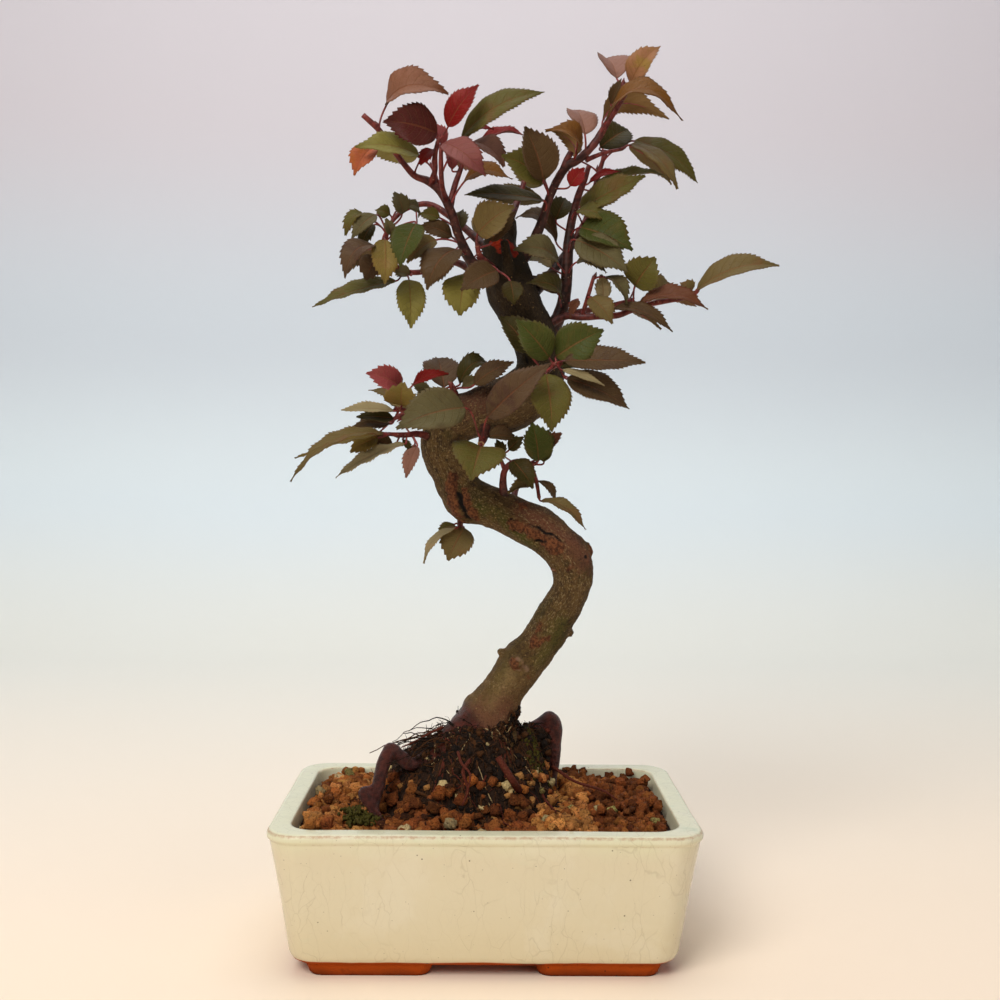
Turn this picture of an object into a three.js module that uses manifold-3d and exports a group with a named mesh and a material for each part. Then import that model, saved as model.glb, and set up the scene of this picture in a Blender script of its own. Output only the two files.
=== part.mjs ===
// An apple bonsai in a rectangular glazed pot. Millimetres, +Z up, the front faces -Y.
// The plant's shape was read from a photograph: a place is [column, row, depth], where column and
// row are pixels of the 1000 x 1000 picture and depth is in mm behind the middle of the pot.
import * as THREE from 'three';
import { mergeVertices } from 'three/addons/utils/BufferGeometryUtils.js';
import Module from 'manifold-3d';

const wasm = await Module();
wasm.setup();

// The photograph's viewpoint, measured from the centre of the plane that the pot's feet stand on.
const EYE = new THREE.Vector3(-3, -555.5, 213);
const FOCAL = 1240;
const PICTURE_CENTRE = 500;
const PITCH = 0.031;
const ROLL = 0.0103;
const YAW = 0.015;

// Pot
const POT_WIDTH = 180;
const POT_DEPTH = 122;
const POT_HEIGHT = 62;
const POT_CORNER = 13;
const CORNER_SEGMENTS = 2;
const RIM_LAND = 9.3;
const FLOOR_BOTTOM = 5;
const FLOOR_TOP = 11;
const FOOT_LENGTH = 53;
const FOOT_DEPTH = 35;
const FOOT_CORNER = 6;
const FOOT_INSET = 16;
const FOOT_SETBACK = 11;
const FOOT_TAPER = 1.3;
const FOOT_SINK = 2;
const DRAIN_RADIUS = 8;
const DRAIN_OFFSET = 38;
const DRAIN_SIDES = 16;
const ABOVE_RIM = POT_HEIGHT + 5;
// the outside from the bottom up, as [height, inset from the widest line]
const POT_OUTSIDE = [
  [FLOOR_BOTTOM, 11.6],
  [6.4, 9.6],
  [9.5, 8.2],
  [POT_HEIGHT - 4.4, 0.9],
  [POT_HEIGHT - 3.6, 0],
  [POT_HEIGHT - 1.4, 0],
  [POT_HEIGHT, 1.5],
];
const INSIDE_FOOT_INSET = 15.2;
const INSIDE_SHOULDER = POT_HEIGHT - 3;

// Drain screens
const SCREEN_SIZE = 26;
const SCREEN_THICKNESS = 1.2;
const SCREEN_SLOTS = 4;
const SCREEN_SLOT_WIDTH = 2;

// Soil and root ball
const SEAT_GAP = 0.3;
const SOIL_HEIGHT = 61;
const GRAIN_PITCH = 9.5;
const GRAIN_RELIEF = 2.2;
const GRAIN_SEED = 11;
const MOUND = {
  x: -10, y: 2, halfX: 43, halfY: 34, soil: 57, top: 88, bottom: 28, lump: 1.6, waves: 8, sides: 16, rings: 9,
};
const MOUND_STUB = { path: [[519, 790, -20], [512, 780, -29], [498, 757, -27]], wide: [3.4, 3.2, 2.8] };

// Wood: the trunk's radius swells and shrinks round it in two sets of ridges that turn as it rises
const TRUNK_SIDES = 12;
const TRUNK_STEPS = 36;
const RIDGES = [3, 5];
const RIDGE_SIZES = [1, 0.6];
const RIDGE_TURNS = [1.3, -2.1];

// Leaves
const BLADE_THICKNESS = 0.7;
const FOLD = THREE.MathUtils.degToRad(17);
const WIDEST_PLACE = 0.82;
const FULLNESS = 0.8;
// a blade longer than each size, in mm, gets one more tooth a side
const LEAF_SIZES = [16, 30];
const TOOTH_POINT = 0.82;
const TOOTH_NOTCH = 0.95;
const TOOTHLESS_TIP = 0.45;
const POINT_OUT = 1.08;
const NOTCH_IN = 0.88;
const RIB_SHARES = [0.3, 0.65];
const SHORT_RIB_SHARES = [0.5];
const STALK_HALF = 0.65;
const LONG_STALK = 9;
const STALK_BEND = 0.45;
const STALK_BACK = 0.06;
const STEM_SAMPLES = 30;

const TINY = 1e-3;
const DRAW_FACTOR = 16807;
const DRAW_SIZE = 2147483647;

// Solids from three.js geometry, and back
function bare(geometry) {
  geometry.deleteAttribute('normal');
  geometry.deleteAttribute('uv');
  return mergeVertices(geometry, 1e-4);
}

function solidOf(geometry) {
  const merged = bare(geometry);
  const vertProperties = merged.attributes.position.array;
  const triVerts = new Uint32Array(merged.index.array);
  return new wasm.Manifold(new wasm.Mesh({ numProp: 3, vertProperties, triVerts }));
}

function geometryOf(solid) {
  const mesh = solid.getMesh();
  const geometry = new THREE.BufferGeometry();
  geometry.setAttribute('position', new THREE.Float32BufferAttribute(mesh.vertProperties, 3));
  geometry.setIndex([...mesh.triVerts]);
  const flat = geometry.toNonIndexed();
  flat.computeVertexNormals();
  return flat;
}

function joined(solids) {
  return solids.reduce((whole, next) => whole.add(next));
}

// Fusing can leave a crumb beside the body: only the body is kept.
function largestBody(solid) {
  const bodies = solid.decompose();
  return bodies.reduce((best, next) => (next.volume() > best.volume() ? next : best));
}

// The point at a given depth that the photograph shows at a column and row.
function seen([column, row, depth]) {
  const ray = new THREE.Vector3((column - PICTURE_CENTRE) / FOCAL, 1, (PICTURE_CENTRE - row) / FOCAL);
  ray.applyAxisAngle(new THREE.Vector3(0, 1, 0), -ROLL);
  ray.applyAxisAngle(new THREE.Vector3(1, 0, 0), -PITCH);
  ray.applyAxisAngle(new THREE.Vector3(0, 0, 1), -YAW);
  return EYE.clone().addScaledVector(ray, (depth - EYE.y) / ray.y);
}

// A fixed series of numbers from 0 to 1 that looks random; each seed has its own.
function seededDraw(seed) {
  let state = seed;
  return () => {
    state = (state * DRAW_FACTOR) % DRAW_SIZE;
    return state / DRAW_SIZE;
  };
}

// A stem: a closed cylinder whose rings follow a smooth curve through the places.
// grow makes it fatter all round, for cutting a seat; gnarl varies the radius round the stem.
function limb({ path, wide, sides = 4, steps = 3, gnarl = 0 }, grow = 0) {
  const curve = new THREE.CatmullRomCurve3(path.map(seen), false, 'centripetal');
  const frames = curve.computeFrenetFrames(steps, false);
  const geometry = new THREE.CylinderGeometry(1, 1, 1, sides, steps);
  const position = geometry.attributes.position;
  const point = new THREE.Vector3();
  for (let i = 0; i < position.count; i += 1) {
    point.fromBufferAttribute(position, i);
    const ring = Math.round((point.y + 0.5) * steps);
    const along = curve.getUtoTmapping(ring / steps) * (path.length - 1);
    const before = Math.min(Math.floor(along), path.length - 2);
    const ease = THREE.MathUtils.smoothstep(along - before, 0, 1);
    const width = THREE.MathUtils.lerp(wide[before], wide[before + 1], ease);
    const turn = Math.atan2(point.z, point.x);
    const ridge = (n) => RIDGE_SIZES[n] * Math.cos(RIDGES[n] * turn + RIDGE_TURNS[n] * along);
    const radius = (width / 2) * (1 + gnarl * (ridge(0) + ridge(1))) + grow;
    const tangent = frames.tangents[ring];
    const normal = frames.normals[ring];
    const third = normal.clone().cross(tangent);
    const centre = curve.getPointAt(ring / steps);
    const end = ring === 0 ? -grow : ring === steps ? grow : 0;
    centre.addScaledVector(tangent, end);
    centre.addScaledVector(normal, point.x * radius);
    centre.addScaledVector(third, point.z * radius);
    position.setXYZ(i, centre.x, centre.y, centre.z);
  }
  return solidOf(geometry);
}

// Pot, feet, soil: a rounded rectangle whose size changes from level to level.
function roundedRectangle(halfX, halfY, radius) {
  const shape = new THREE.Shape();
  shape.absarc(halfX - radius, halfY - radius, radius, 0, Math.PI / 2);
  shape.absarc(radius - halfX, halfY - radius, radius, Math.PI / 2, Math.PI);
  shape.absarc(radius - halfX, radius - halfY, radius, Math.PI, Math.PI * 1.5);
  shape.absarc(halfX - radius, radius - halfY, radius, Math.PI * 1.5, Math.PI * 2);
  return shape;
}

// levels holds [height, inset] pairs from the bottom up.
function tapered(halfX, halfY, radius, levels, curveSegments = CORNER_SEGMENTS) {
  const shape = roundedRectangle(halfX, halfY, radius);
  const steps = levels.length - 1;
  const options = { depth: 1, steps, curveSegments, bevelEnabled: false };
  const geometry = new THREE.ExtrudeGeometry(shape, options);
  const position = geometry.attributes.position;
  for (let i = 0; i < position.count; i += 1) {
    const [height, inset] = levels[Math.round(position.getZ(i) * steps)];
    const x = (position.getX(i) * (halfX - inset)) / halfX;
    const y = (position.getY(i) * (halfY - inset)) / halfY;
    position.setXYZ(i, x, y, height);
  }
  return solidOf(geometry);
}

// gap shrinks the shape, so that the soil stays clear of the wall.
function cavity(top, gap) {
  const levels = [
    [FLOOR_TOP + gap, INSIDE_FOOT_INSET + gap],
    [INSIDE_SHOULDER, RIM_LAND + gap],
    [top, RIM_LAND + gap],
  ];
  return tapered(POT_WIDTH / 2, POT_DEPTH / 2, POT_CORNER, levels);
}

function foot(signX, signY) {
  const halfX = FOOT_LENGTH / 2;
  const halfY = FOOT_DEPTH / 2;
  const levels = [
    [0, FOOT_TAPER],
    [FLOOR_BOTTOM - 1, 0],
    [FLOOR_BOTTOM + FOOT_SINK, 0],
  ];
  const x = signX * (POT_WIDTH / 2 - FOOT_INSET - halfX);
  const y = signY * (POT_DEPTH / 2 - FOOT_SETBACK - halfY);
  return tapered(halfX, halfY, FOOT_CORNER, levels, 1).translate([x, y, 0]);
}

function drain(side) {
  const hole = new THREE.CylinderGeometry(DRAIN_RADIUS, DRAIN_RADIUS, FLOOR_TOP * 2, DRAIN_SIDES);
  hole.rotateX(Math.PI / 2);
  hole.translate(side * DRAIN_OFFSET, 0, FLOOR_TOP);
  return solidOf(hole);
}

function potSolid() {
  let pot = tapered(POT_WIDTH / 2, POT_DEPTH / 2, POT_CORNER, POT_OUTSIDE);
  for (const x of [-1, 1]) {
    for (const y of [-1, 1]) pot = pot.add(foot(x, y));
  }
  pot = pot.subtract(cavity(ABOVE_RIM, 0));
  return pot.subtract(drain(-1)).subtract(drain(1));
}

// A square of plastic mesh over each drain hole: a plate with slots right through it.
function screenBlock(side, size, height) {
  const plate = new THREE.BoxGeometry(size, size, height);
  plate.translate(side * DRAIN_OFFSET, 0, FLOOR_TOP + SEAT_GAP + height / 2);
  return solidOf(plate);
}

function screenSolid(side) {
  let screen = screenBlock(side, SCREEN_SIZE, SCREEN_THICKNESS);
  const pitch = SCREEN_SIZE / (SCREEN_SLOTS + 1);
  for (let n = 1; n <= SCREEN_SLOTS; n += 1) {
    const slot = new THREE.BoxGeometry(SCREEN_SLOT_WIDTH, SCREEN_SIZE - pitch, POT_HEIGHT);
    slot.translate(side * DRAIN_OFFSET - SCREEN_SIZE / 2 + n * pitch, 0, FLOOR_TOP);
    screen = screen.subtract(solidOf(slot));
  }
  return screen;
}

// Root ball: a lumpy dome of matted fine roots, steep at its sides and sunk into the soil.
function moundSolid(grow) {
  const geometry = bare(new THREE.SphereGeometry(1, MOUND.sides, MOUND.rings).rotateX(Math.PI / 2));
  const position = geometry.attributes.position;
  for (let i = 0; i < position.count; i += 1) {
    const x = position.getX(i);
    const y = position.getY(i);
    const z = Math.abs(position.getZ(i)) < TINY ? 0 : position.getZ(i);
    const reach = Math.hypot(x, y);
    const lump = Math.sin(MOUND.waves * x + z) * Math.cos(MOUND.waves * y - x) * MOUND.lump;
    const rise = z > 0 ? (MOUND.top - MOUND.soil) * (1 - reach ** 4) : 0;
    const sink = z < 0 ? z * (MOUND.soil - MOUND.bottom) : 0;
    const outX = MOUND.halfX + lump * reach + grow;
    const outY = MOUND.halfY + lump * reach + grow;
    const height = MOUND.soil + rise + sink + lump * z * z + grow * Math.sign(z);
    position.setXYZ(i, MOUND.x + x * outX, MOUND.y + y * outY, height);
  }
  return solidOf(geometry).add(limb(MOUND_STUB, grow));
}

// The soil fills the pot; its top is a bed of grains, one high or low point for each.
function soilBlock() {
  const columns = Math.round(POT_WIDTH / GRAIN_PITCH);
  const rows = Math.round(POT_DEPTH / GRAIN_PITCH);
  const block = bare(new THREE.BoxGeometry(POT_WIDTH, POT_DEPTH, POT_HEIGHT, columns, rows, 1));
  const position = block.attributes.position;
  const draw = seededDraw(GRAIN_SEED);
  for (let i = 0; i < position.count; i += 1) {
    if (position.getZ(i) < 0) continue;
    position.setZ(i, SOIL_HEIGHT - POT_HEIGHT / 2 + (draw() - 0.5) * GRAIN_RELIEF);
  }
  block.translate(0, 0, POT_HEIGHT / 2);
  return solidOf(block).intersect(cavity(ABOVE_RIM, SEAT_GAP));
}

// Old wood: the trunk with its bends, its thick surface roots, and the stubs of pruned branches.
const TRUNK = {
  sides: TRUNK_SIDES,
  steps: TRUNK_STEPS,
  gnarl: 0.03,
  path: [
    [478, 778, 6], [480, 752, 6], [485, 732, 5], [490, 714, 4], [496, 703, 4], [504, 689, 3],
    [514, 674, 2], [523, 661, 2], [537, 646, 1], [548, 631, 0], [555, 617, -1], [564, 603, -2],
    [571, 588, -3], [573, 571, -4], [568, 555, -5], [556, 543, -5], [541, 530, -4], [520, 520, -2],
    [504, 512, 0], [489, 506, 1], [469, 500, 1], [459, 486, 2], [452, 470, 2], [446, 457, 3],
    [443, 441, 3], [450, 425, 2], [468, 416, 1], [490, 410, 0], [507, 405, -1], [526, 394, -2],
    [539, 377, -2], [540, 357, -1], [534, 337, 0], [525, 318, 1], [517, 303, 2], [511, 290, 3],
    [508, 276, 3], [505, 263, 4], [500, 249, 4], [503, 232, 5], [507, 217, 5],
  ],
  wide: [
    30, 35, 33, 27, 22.5, 19.2, 19.4, 20.5, 18.4, 18.2, 17.7, 17.5, 17.2, 18.6, 19.8, 18.6, 19.8, 19.2,
    18, 18.6, 21, 19.5, 19, 20.5, 20.5, 21, 21.5, 24, 25.5, 24.5, 22.5, 21, 20.5, 20.7, 21.8, 22.3,
    21.5, 19.5, 16, 13, 10,
  ],
};

const ROOTS = [
  {
    path: [[480, 722, 4], [468, 729, 1], [455, 738, -2], [440, 752, -8], [428, 768, -13]],
    wide: [20, 17, 14, 11, 8],
    sides: 7,
    steps: 5,
  },
  {
    path: [
      [452, 742, 2], [428, 756, -8], [412, 764, -14], [400, 756, -17], [391, 750, -19],
      [384, 764, -22], [379, 782, -25], [374, 806, -27], [374, 824, -28],
    ],
    wide: [8, 7, 6, 6, 7, 6.5, 6, 5, 4],
    sides: 6,
    steps: 10,
  },
  {
    path: [[372, 788, -26], [364, 793, -28], [372, 806, -29], [384, 828, -31]],
    wide: [3.5, 5, 4.5, 4],
    steps: 4,
  },
  {
    path: [
      [508, 738, 10], [528, 731, 14], [541, 725, 16], [550, 720, 16], [554, 728, 15], [553, 745, 14],
      [551, 772, 14], [549, 800, 14],
    ],
    wide: [9, 6.5, 7, 7.5, 6, 3.8, 3.6, 3.4],
    sides: 6,
    steps: 9,
  },
  { path: [[508, 745, 8], [530, 764, 18], [541, 790, 22]], wide: [14, 9, 5] },
  { path: [[476, 745, 10], [466, 758, 26], [460, 792, 37]], wide: [16, 9, 5] },
];

const STUBS = [
  { path: [[516, 661, 1], [505, 654, 0], [498, 650, 0]], wide: [11, 6, 2.4], steps: 2 },
  { path: [[558, 627, 0], [566, 631, 0], [573, 635, 0]], wide: [9, 6, 3], steps: 2 },
  { path: [[520, 668, 0], [516, 661, -9.5]], wide: [10, 6], steps: 1 },
  { path: [[572, 557, -5], [584, 551, -5], [591, 548, -5]], wide: [15, 10, 6], steps: 2 },
  { path: [[509, 284, -4], [508, 266, -9], [504, 240, -9]], wide: [6.5, 5.5, 4.5], steps: 2 },
];

function woodSolid(grow) {
  return joined([TRUNK, ...ROOTS, ...STUBS].map((part) => limb(part, grow)));
}

// Apple leaf: a folded, arched blade with forward-pointing teeth, on a four-sided stalk.
// half width at a share s of the blade's length, as a share of the leaf's half width
function outline(s) {
  return Math.sin(Math.PI * s ** WIDEST_PLACE) ** FULLNESS;
}

// [share of length, half width] down one edge: each tooth has a point and the notch behind it.
function toothedEdge(halfWidth, teeth) {
  const points = [];
  for (let n = 0; n < teeth; n += 1) {
    const point = (n + TOOTH_POINT) / (teeth + TOOTHLESS_TIP);
    const notch = (n + TOOTH_NOTCH) / (teeth + TOOTHLESS_TIP);
    points.push([point, halfWidth * outline(point) * POINT_OUT]);
    points.push([notch, halfWidth * outline(notch) * NOTCH_IN]);
  }
  return points;
}

// The nearest point of a spray's stems to a leaf's base, a little towards the stem's root.
function stalkRoot(base, curves) {
  let best = null;
  for (const curve of curves) {
    for (let n = 0; n <= STEM_SAMPLES; n += 1) {
      const share = n / STEM_SAMPLES;
      const apart = curve.getPointAt(share).distanceTo(base);
      if (!best || apart < best.apart) best = { apart, curve, share };
    }
  }
  return best.curve.getPointAt(Math.max(best.share - STALK_BACK, 0));
}

function leaf({ from, to, wide, tilt = 20, arch = 2 }, curves) {
  const base = seen(from);
  const tip = seen(to);
  const axis = tip.clone().sub(base);
  const length = axis.length();
  axis.normalize();
  const facingFront = new THREE.Vector3(0, -1, 0).projectOnPlane(axis).normalize();
  const facingUp = axis.clone().cross(facingFront);
  if (facingUp.z < 0) facingUp.negate();
  const turn = THREE.MathUtils.degToRad(tilt);
  const up = facingFront.multiplyScalar(Math.cos(turn)).addScaledVector(facingUp, Math.sin(turn));
  const side = axis.clone().cross(up);

  const rise = (s) => arch * 4 * s * (1 - s);
  const slope = (s) => arch * 4 * (1 - 2 * s);
  const rib = (s) => base.clone().addScaledVector(axis, length * s).addScaledVector(up, rise(s));
  const heading = (s) => axis.clone().multiplyScalar(length).addScaledVector(up, slope(s)).normalize();
  const facing = (s) => side.clone().cross(heading(s));

  const teeth = 1 + LEAF_SIZES.filter((size) => length > size).length;
  const ribShares = teeth > 2 ? RIB_SHARES : SHORT_RIB_SHARES;
  const edge = toothedEdge(wide / 2, teeth);

  const vertices = [];
  const faces = [];
  const vertex = (place) => vertices.push(place.x, place.y, place.z) / 3 - 1;
  // A point of the blade has two vertices, half the thickness above and below it.
  const pair = (s, out) => {
    const normal = facing(s);
    const place = rib(s).addScaledVector(side, out * Math.cos(FOLD));
    place.addScaledVector(normal, Math.abs(out) * Math.sin(FOLD));
    const top = vertex(place.clone().addScaledVector(normal, BLADE_THICKNESS / 2));
    const under = vertex(place.clone().addScaledVector(normal, -BLADE_THICKNESS / 2));
    return { s, top, under };
  };

  // The stalk's rings, from the stem to the blade, each a diamond: right, top, left, under.
  const root = stalkRoot(base, curves);
  const bend = base.clone().addScaledVector(heading(0), -STALK_BEND * base.distanceTo(root));
  const stalk = new THREE.QuadraticBezierCurve3(root, bend, base);
  const ringCount = base.distanceTo(root) > LONG_STALK ? 3 : 2;
  const rings = [];
  for (let n = 0; n < ringCount; n += 1) {
    const share = n / (ringCount - 1);
    const centre = stalk.getPoint(share);
    const swing = new THREE.Quaternion().setFromUnitVectors(heading(0), stalk.getTangent(share));
    const across = side.clone().applyQuaternion(swing).multiplyScalar(STALK_HALF);
    const over = facing(0).applyQuaternion(swing).multiplyScalar(STALK_HALF);
    rings.push([
      vertex(centre.clone().add(across)),
      vertex(centre.clone().add(over)),
      vertex(centre.clone().sub(across)),
      vertex(centre.clone().sub(over)),
    ]);
  }
  faces.push(rings[0][0], rings[0][1], rings[0][2], rings[0][0], rings[0][2], rings[0][3]);
  for (let n = 0; n + 1 < ringCount; n += 1) {
    for (let q = 0; q < 4; q += 1) {
      const next = (q + 1) % 4;
      const [a, b] = [rings[n][q], rings[n][next]];
      const [c, d] = [rings[n + 1][q], rings[n + 1][next]];
      faces.push(a, c, b, b, c, d);
    }
  }

  // The blade starts from the last ring: rib and edges run side by side to the tip.
  const [right, top, left, under] = rings[ringCount - 1];
  const point = pair(1, 0);
  const ribPoints = [{ s: 0, top, under }, ...ribShares.map((s) => pair(s, 0)), point];
  for (const sign of [1, -1]) {
    const start = sign > 0 ? right : left;
    const face = (a, b, c) => (sign > 0 ? faces.push(a, b, c) : faces.push(a, c, b));
    const rim = [{ s: 0, top: start, under: start }, ...edge.map(([s, out]) => pair(s, sign * out)), point];
    let i = 0;
    let j = 0;
    while (i < ribPoints.length - 1 || j < rim.length - 1) {
      const ribNext = i < ribPoints.length - 1 ? ribPoints[i + 1].s : 2;
      const rimNext = j < rim.length - 1 ? rim[j + 1].s : 2;
      const [a, b] = [ribPoints[i], rim[j]];
      const alongRim = rimNext <= ribNext;
      const c = alongRim ? rim[j + 1] : ribPoints[i + 1];
      if (a !== c && b !== c && a !== b) {
        face(a.top, b.top, c.top);
        face(a.under, c.under, b.under);
      }
      if (alongRim) j += 1;
      else i += 1;
    }
    for (let n = 0; n + 1 < rim.length; n += 1) {
      const [a, b] = [rim[n], rim[n + 1]];
      face(a.under, b.under, b.top);
      if (a.top !== a.under) face(a.under, b.top, a.top);
    }
  }

  const geometry = new THREE.BufferGeometry();
  geometry.setAttribute('position', new THREE.Float32BufferAttribute(vertices, 3));
  geometry.setIndex(faces);
  return solidOf(geometry);
}

// Leafy shoots. Each has its stems and its leaves; a leaf's stalk starts at the nearest stem.
const SPRAYS = {
  branch_left: {
    leafColour: 'olive',
    stems: [
      {
        path: [
          [482, 276, 0], [469, 258, -3], [459, 236, -6], [450, 209, -9], [439, 190, -11],
          [428, 181, -12], [415, 176, -13], [404, 164, -13], [389, 144, -14], [379, 130, -15], [363, 115, -16],
        ],
        wide: [7, 5, 4, 3.8, 3.6, 3.6, 2.8, 2.6, 2.5, 2.5, 2.4],
        sides: 5,
        steps: 12,
      },
    ],
    leaves: [
      { from: [382, 112, -15], to: [445, 93, -24], wide: 15, tilt: 62, arch: 8.5 },
      { from: [412, 166, -17], to: [356, 147, -26], wide: 15, tilt: 35, arch: 3 },
      { from: [376, 147, -15], to: [359, 173, -21], wide: 11, tilt: 10 },
      { from: [462, 139, -15], to: [543, 92, -24], wide: 19, tilt: 50, arch: 2.5 },
      { from: [464, 182, -14], to: [511, 178, -21], wide: 12, tilt: 50, arch: 4 },
      { from: [457, 250, -13], to: [427, 289, -22], wide: 18, tilt: 30, arch: 5 },
      { from: [436, 240, -10], to: [407, 262, -13], wide: 12, tilt: 25 },
      { from: [460, 230, 2], to: [462, 210, 4], wide: 9, tilt: 20 },
    ],
  },
  red_shoot_left: {
    on: 'branch_left',
    leafColour: 'red',
    stems: [
      {
        path: [[431, 184, -12], [435, 170, -17], [435, 155, -19], [438, 141, -20]],
        wide: [3, 2.4, 2.2, 2],
        steps: 3,
      },
    ],
    leaves: [
      { from: [437, 137, -20], to: [384, 124, -27], wide: 16, tilt: 12, arch: 3 },
      { from: [446, 127, -22], to: [476, 85, -28], wide: 11, tilt: 25 },
    ],
  },
  red_shoot_inner: {
    on: 'branch_left',
    leafColour: 'red',
    stems: [
      {
        path: [[450, 206, -8], [455, 185, -6], [462, 165, -5], [465, 150, -4]],
        wide: [3.4, 2.6, 2.2, 2],
        steps: 3,
      },
    ],
    leaves: [
      { from: [462, 141, -6], to: [493, 128, -8], wide: 7, tilt: 40, arch: 3 },
      { from: [480, 141, -3], to: [530, 138, 0], wide: 8, tilt: 65, arch: 3 },
      { from: [444, 146, -2], to: [428, 128, 4], wide: 9, tilt: 30 },
      { from: [473, 142, -7], to: [504, 166, -9], wide: 13, tilt: 35, arch: 3 },
    ],
  },
  pink_shoot: {
    on: 'branch_left',
    leafColour: 'red',
    stems: [
      {
        path: [[446, 200, -10], [442, 185, -24], [441, 165, -29], [441, 149, -31]],
        wide: [3, 2.2, 2, 1.8],
        steps: 3,
      },
    ],
    leaves: [{ from: [443, 144, -31], to: [485, 176, -38], wide: 14, tilt: 20, arch: 4 }],
  },
  branch_centre: {
    leafColour: 'olive',
    stems: [
      {
        path: [
          [516, 268, 4], [530, 248, 2], [541, 224, 0], [549, 199, -3], [558, 179, -5], [568, 165, -6],
          [578, 160, -6], [594, 144, -7], [610, 118, -8], [631, 85, -9], [643, 73, -9],
        ],
        wide: [6, 5, 4.2, 3.8, 3.8, 4, 3.8, 3.4, 3, 2.8, 2.6],
        sides: 5,
        steps: 13,
      },
      { path: [[564, 168, -6], [567, 160, -6], [571, 152, -6]], wide: [3.4, 3, 2.8], steps: 1 },
      { path: [[612, 114, -8], [619, 100, -10], [624, 82, -11]], wide: [2.4, 2.4, 2.2], steps: 2 },
      { path: [[586, 160, -6], [604, 153, -3], [622, 149, 0]], wide: [2.4, 1.8, 1.6], steps: 2 },
    ],
    leaves: [
      { from: [543, 181, -9], to: [505, 163, -18], wide: 17, tilt: 15 },
      { from: [543, 180, -11], to: [531, 128, -19], wide: 17, tilt: 20 },
      { from: [576, 154, -10], to: [547, 130, -17], wide: 11, tilt: 50, arch: 6 },
      { from: [617, 79, -12], to: [604, 58, 6], wide: 16, tilt: 20 },
      { from: [631, 84, -11], to: [659, 46, -17], wide: 14, tilt: 25, arch: 3 },
      { from: [611, 104, -12], to: [621, 79, -16], wide: 5, tilt: 20, arch: 1 },
      { from: [606, 122, -12], to: [681, 117, -22], wide: 16, tilt: 65, arch: 11 },
      { from: [585, 134, -10], to: [583, 108, 8], wide: 16, tilt: 10 },
      { from: [600, 148, 2], to: [628, 130, 12], wide: 17, tilt: 10 },
      { from: [630, 147, -2], to: [676, 188, -10], wide: 13, tilt: 60, arch: 2 },
      { from: [634, 141, 4], to: [698, 181, 8], wide: 14, tilt: 55, arch: 3 },
      { from: [544, 201, -7], to: [465, 194, -16], wide: 14, tilt: 60, arch: 1 },
      { from: [570, 186, -10], to: [584, 168, -12], wide: 8, tilt: 10, arch: 1 },
    ],
  },
  branch_right: {
    leafColour: 'olive',
    stems: [
      {
        path: [
          [541, 345, 4], [553, 328, 5], [562, 308, 6], [566, 285, 6], [568, 250, 6], [571, 224, 5],
          [578, 197, 4], [584, 181, 3], [589, 166, 3],
        ],
        wide: [8, 7, 6, 5.6, 5, 4, 3.4, 2.8, 2.2],
        sides: 6,
        steps: 10,
      },
    ],
    leaves: [
      { from: [580, 210, 0], to: [645, 176, -8], wide: 15, tilt: 35, arch: 1 },
      { from: [592, 190, 8], to: [666, 174, 14], wide: 9, tilt: 55, arch: 3 },
      { from: [589, 183, 2], to: [619, 171, 2], wide: 5, tilt: 40 },
      { from: [556, 220, 6], to: [566, 199, 10], wide: 11, tilt: 10 },
      { from: [576, 212, -2], to: [609, 222, -7], wide: 9, tilt: 35, arch: 3 },
      { from: [581, 228, -3], to: [632, 250, -12], wide: 21, tilt: 20 },
      { from: [576, 240, -8], to: [627, 271, -18], wide: 18, tilt: 20 },
      { from: [557, 262, -4], to: [514, 250, -14], wide: 15, tilt: 35, arch: 5 },
      { from: [556, 242, 10], to: [516, 218, 14], wide: 13, tilt: 55, arch: 6 },
      { from: [560, 299, -3], to: [527, 283, -14], wide: 12, tilt: 50, arch: 4 },
      { from: [558, 294, 10], to: [532, 277, 17], wide: 14, tilt: 25 },
      { from: [552, 268, 10], to: [527, 259, 13], wide: 6, tilt: 40 },
      { from: [577, 262, -4], to: [604, 273, -9], wide: 10, tilt: 45, arch: 3 },
    ],
  },
  branch_low_right: {
    leafColour: 'olive',
    stems: [
      {
        path: [
          [548, 326, 0], [566, 316, -3], [580, 317, -6], [604, 316, -8], [619, 315, -9],
          [634, 309, -10], [655, 303, -11], [678, 299, -12], [693, 295, -13], [698, 290, -14],
        ],
        wide: [4, 3.4, 3.2, 3, 2.8, 2.6, 2.4, 2.2, 2, 1.8],
        steps: 9,
      },
      { path: [[582, 317, -6], [589, 293, -12], [594, 276, -14]], wide: [2.2, 1.8, 1.5], steps: 2 },
    ],
    leaves: [
      { from: [605, 277, -13], to: [626, 304, -17], wide: 9, tilt: 45, arch: 3 },
      { from: [590, 298, -15], to: [612, 323, -21], wide: 12, tilt: 20 },
      { from: [603, 300, -8], to: [601, 275, -9], wide: 8, tilt: 15, arch: 1 },
      { from: [635, 286, -11], to: [655, 258, -17], wide: 17, tilt: 10 },
      { from: [649, 297, -4], to: [671, 283, 4], wide: 12, tilt: 20 },
      { from: [640, 304, -13], to: [707, 308, -20], wide: 12, tilt: 70, arch: 7 },
      { from: [613, 309, -12], to: [672, 331, -23], wide: 10, tilt: 65, arch: 3 },
      { from: [697, 290, -14], to: [778, 264, -22], wide: 15, tilt: 45, arch: 1 },
    ],
  },
  branch_far_left: {
    leafColour: 'green',
    stems: [
      {
        path: [
          [484, 284, 6], [468, 268, 10], [451, 262, 13], [432, 270, 12], [408, 272, 8], [394, 264, 3],
          [386, 246, -2], [388, 226, -4],
        ],
        wide: [5, 3.6, 3, 2.6, 2.4, 2.2, 2, 1.8],
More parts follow.
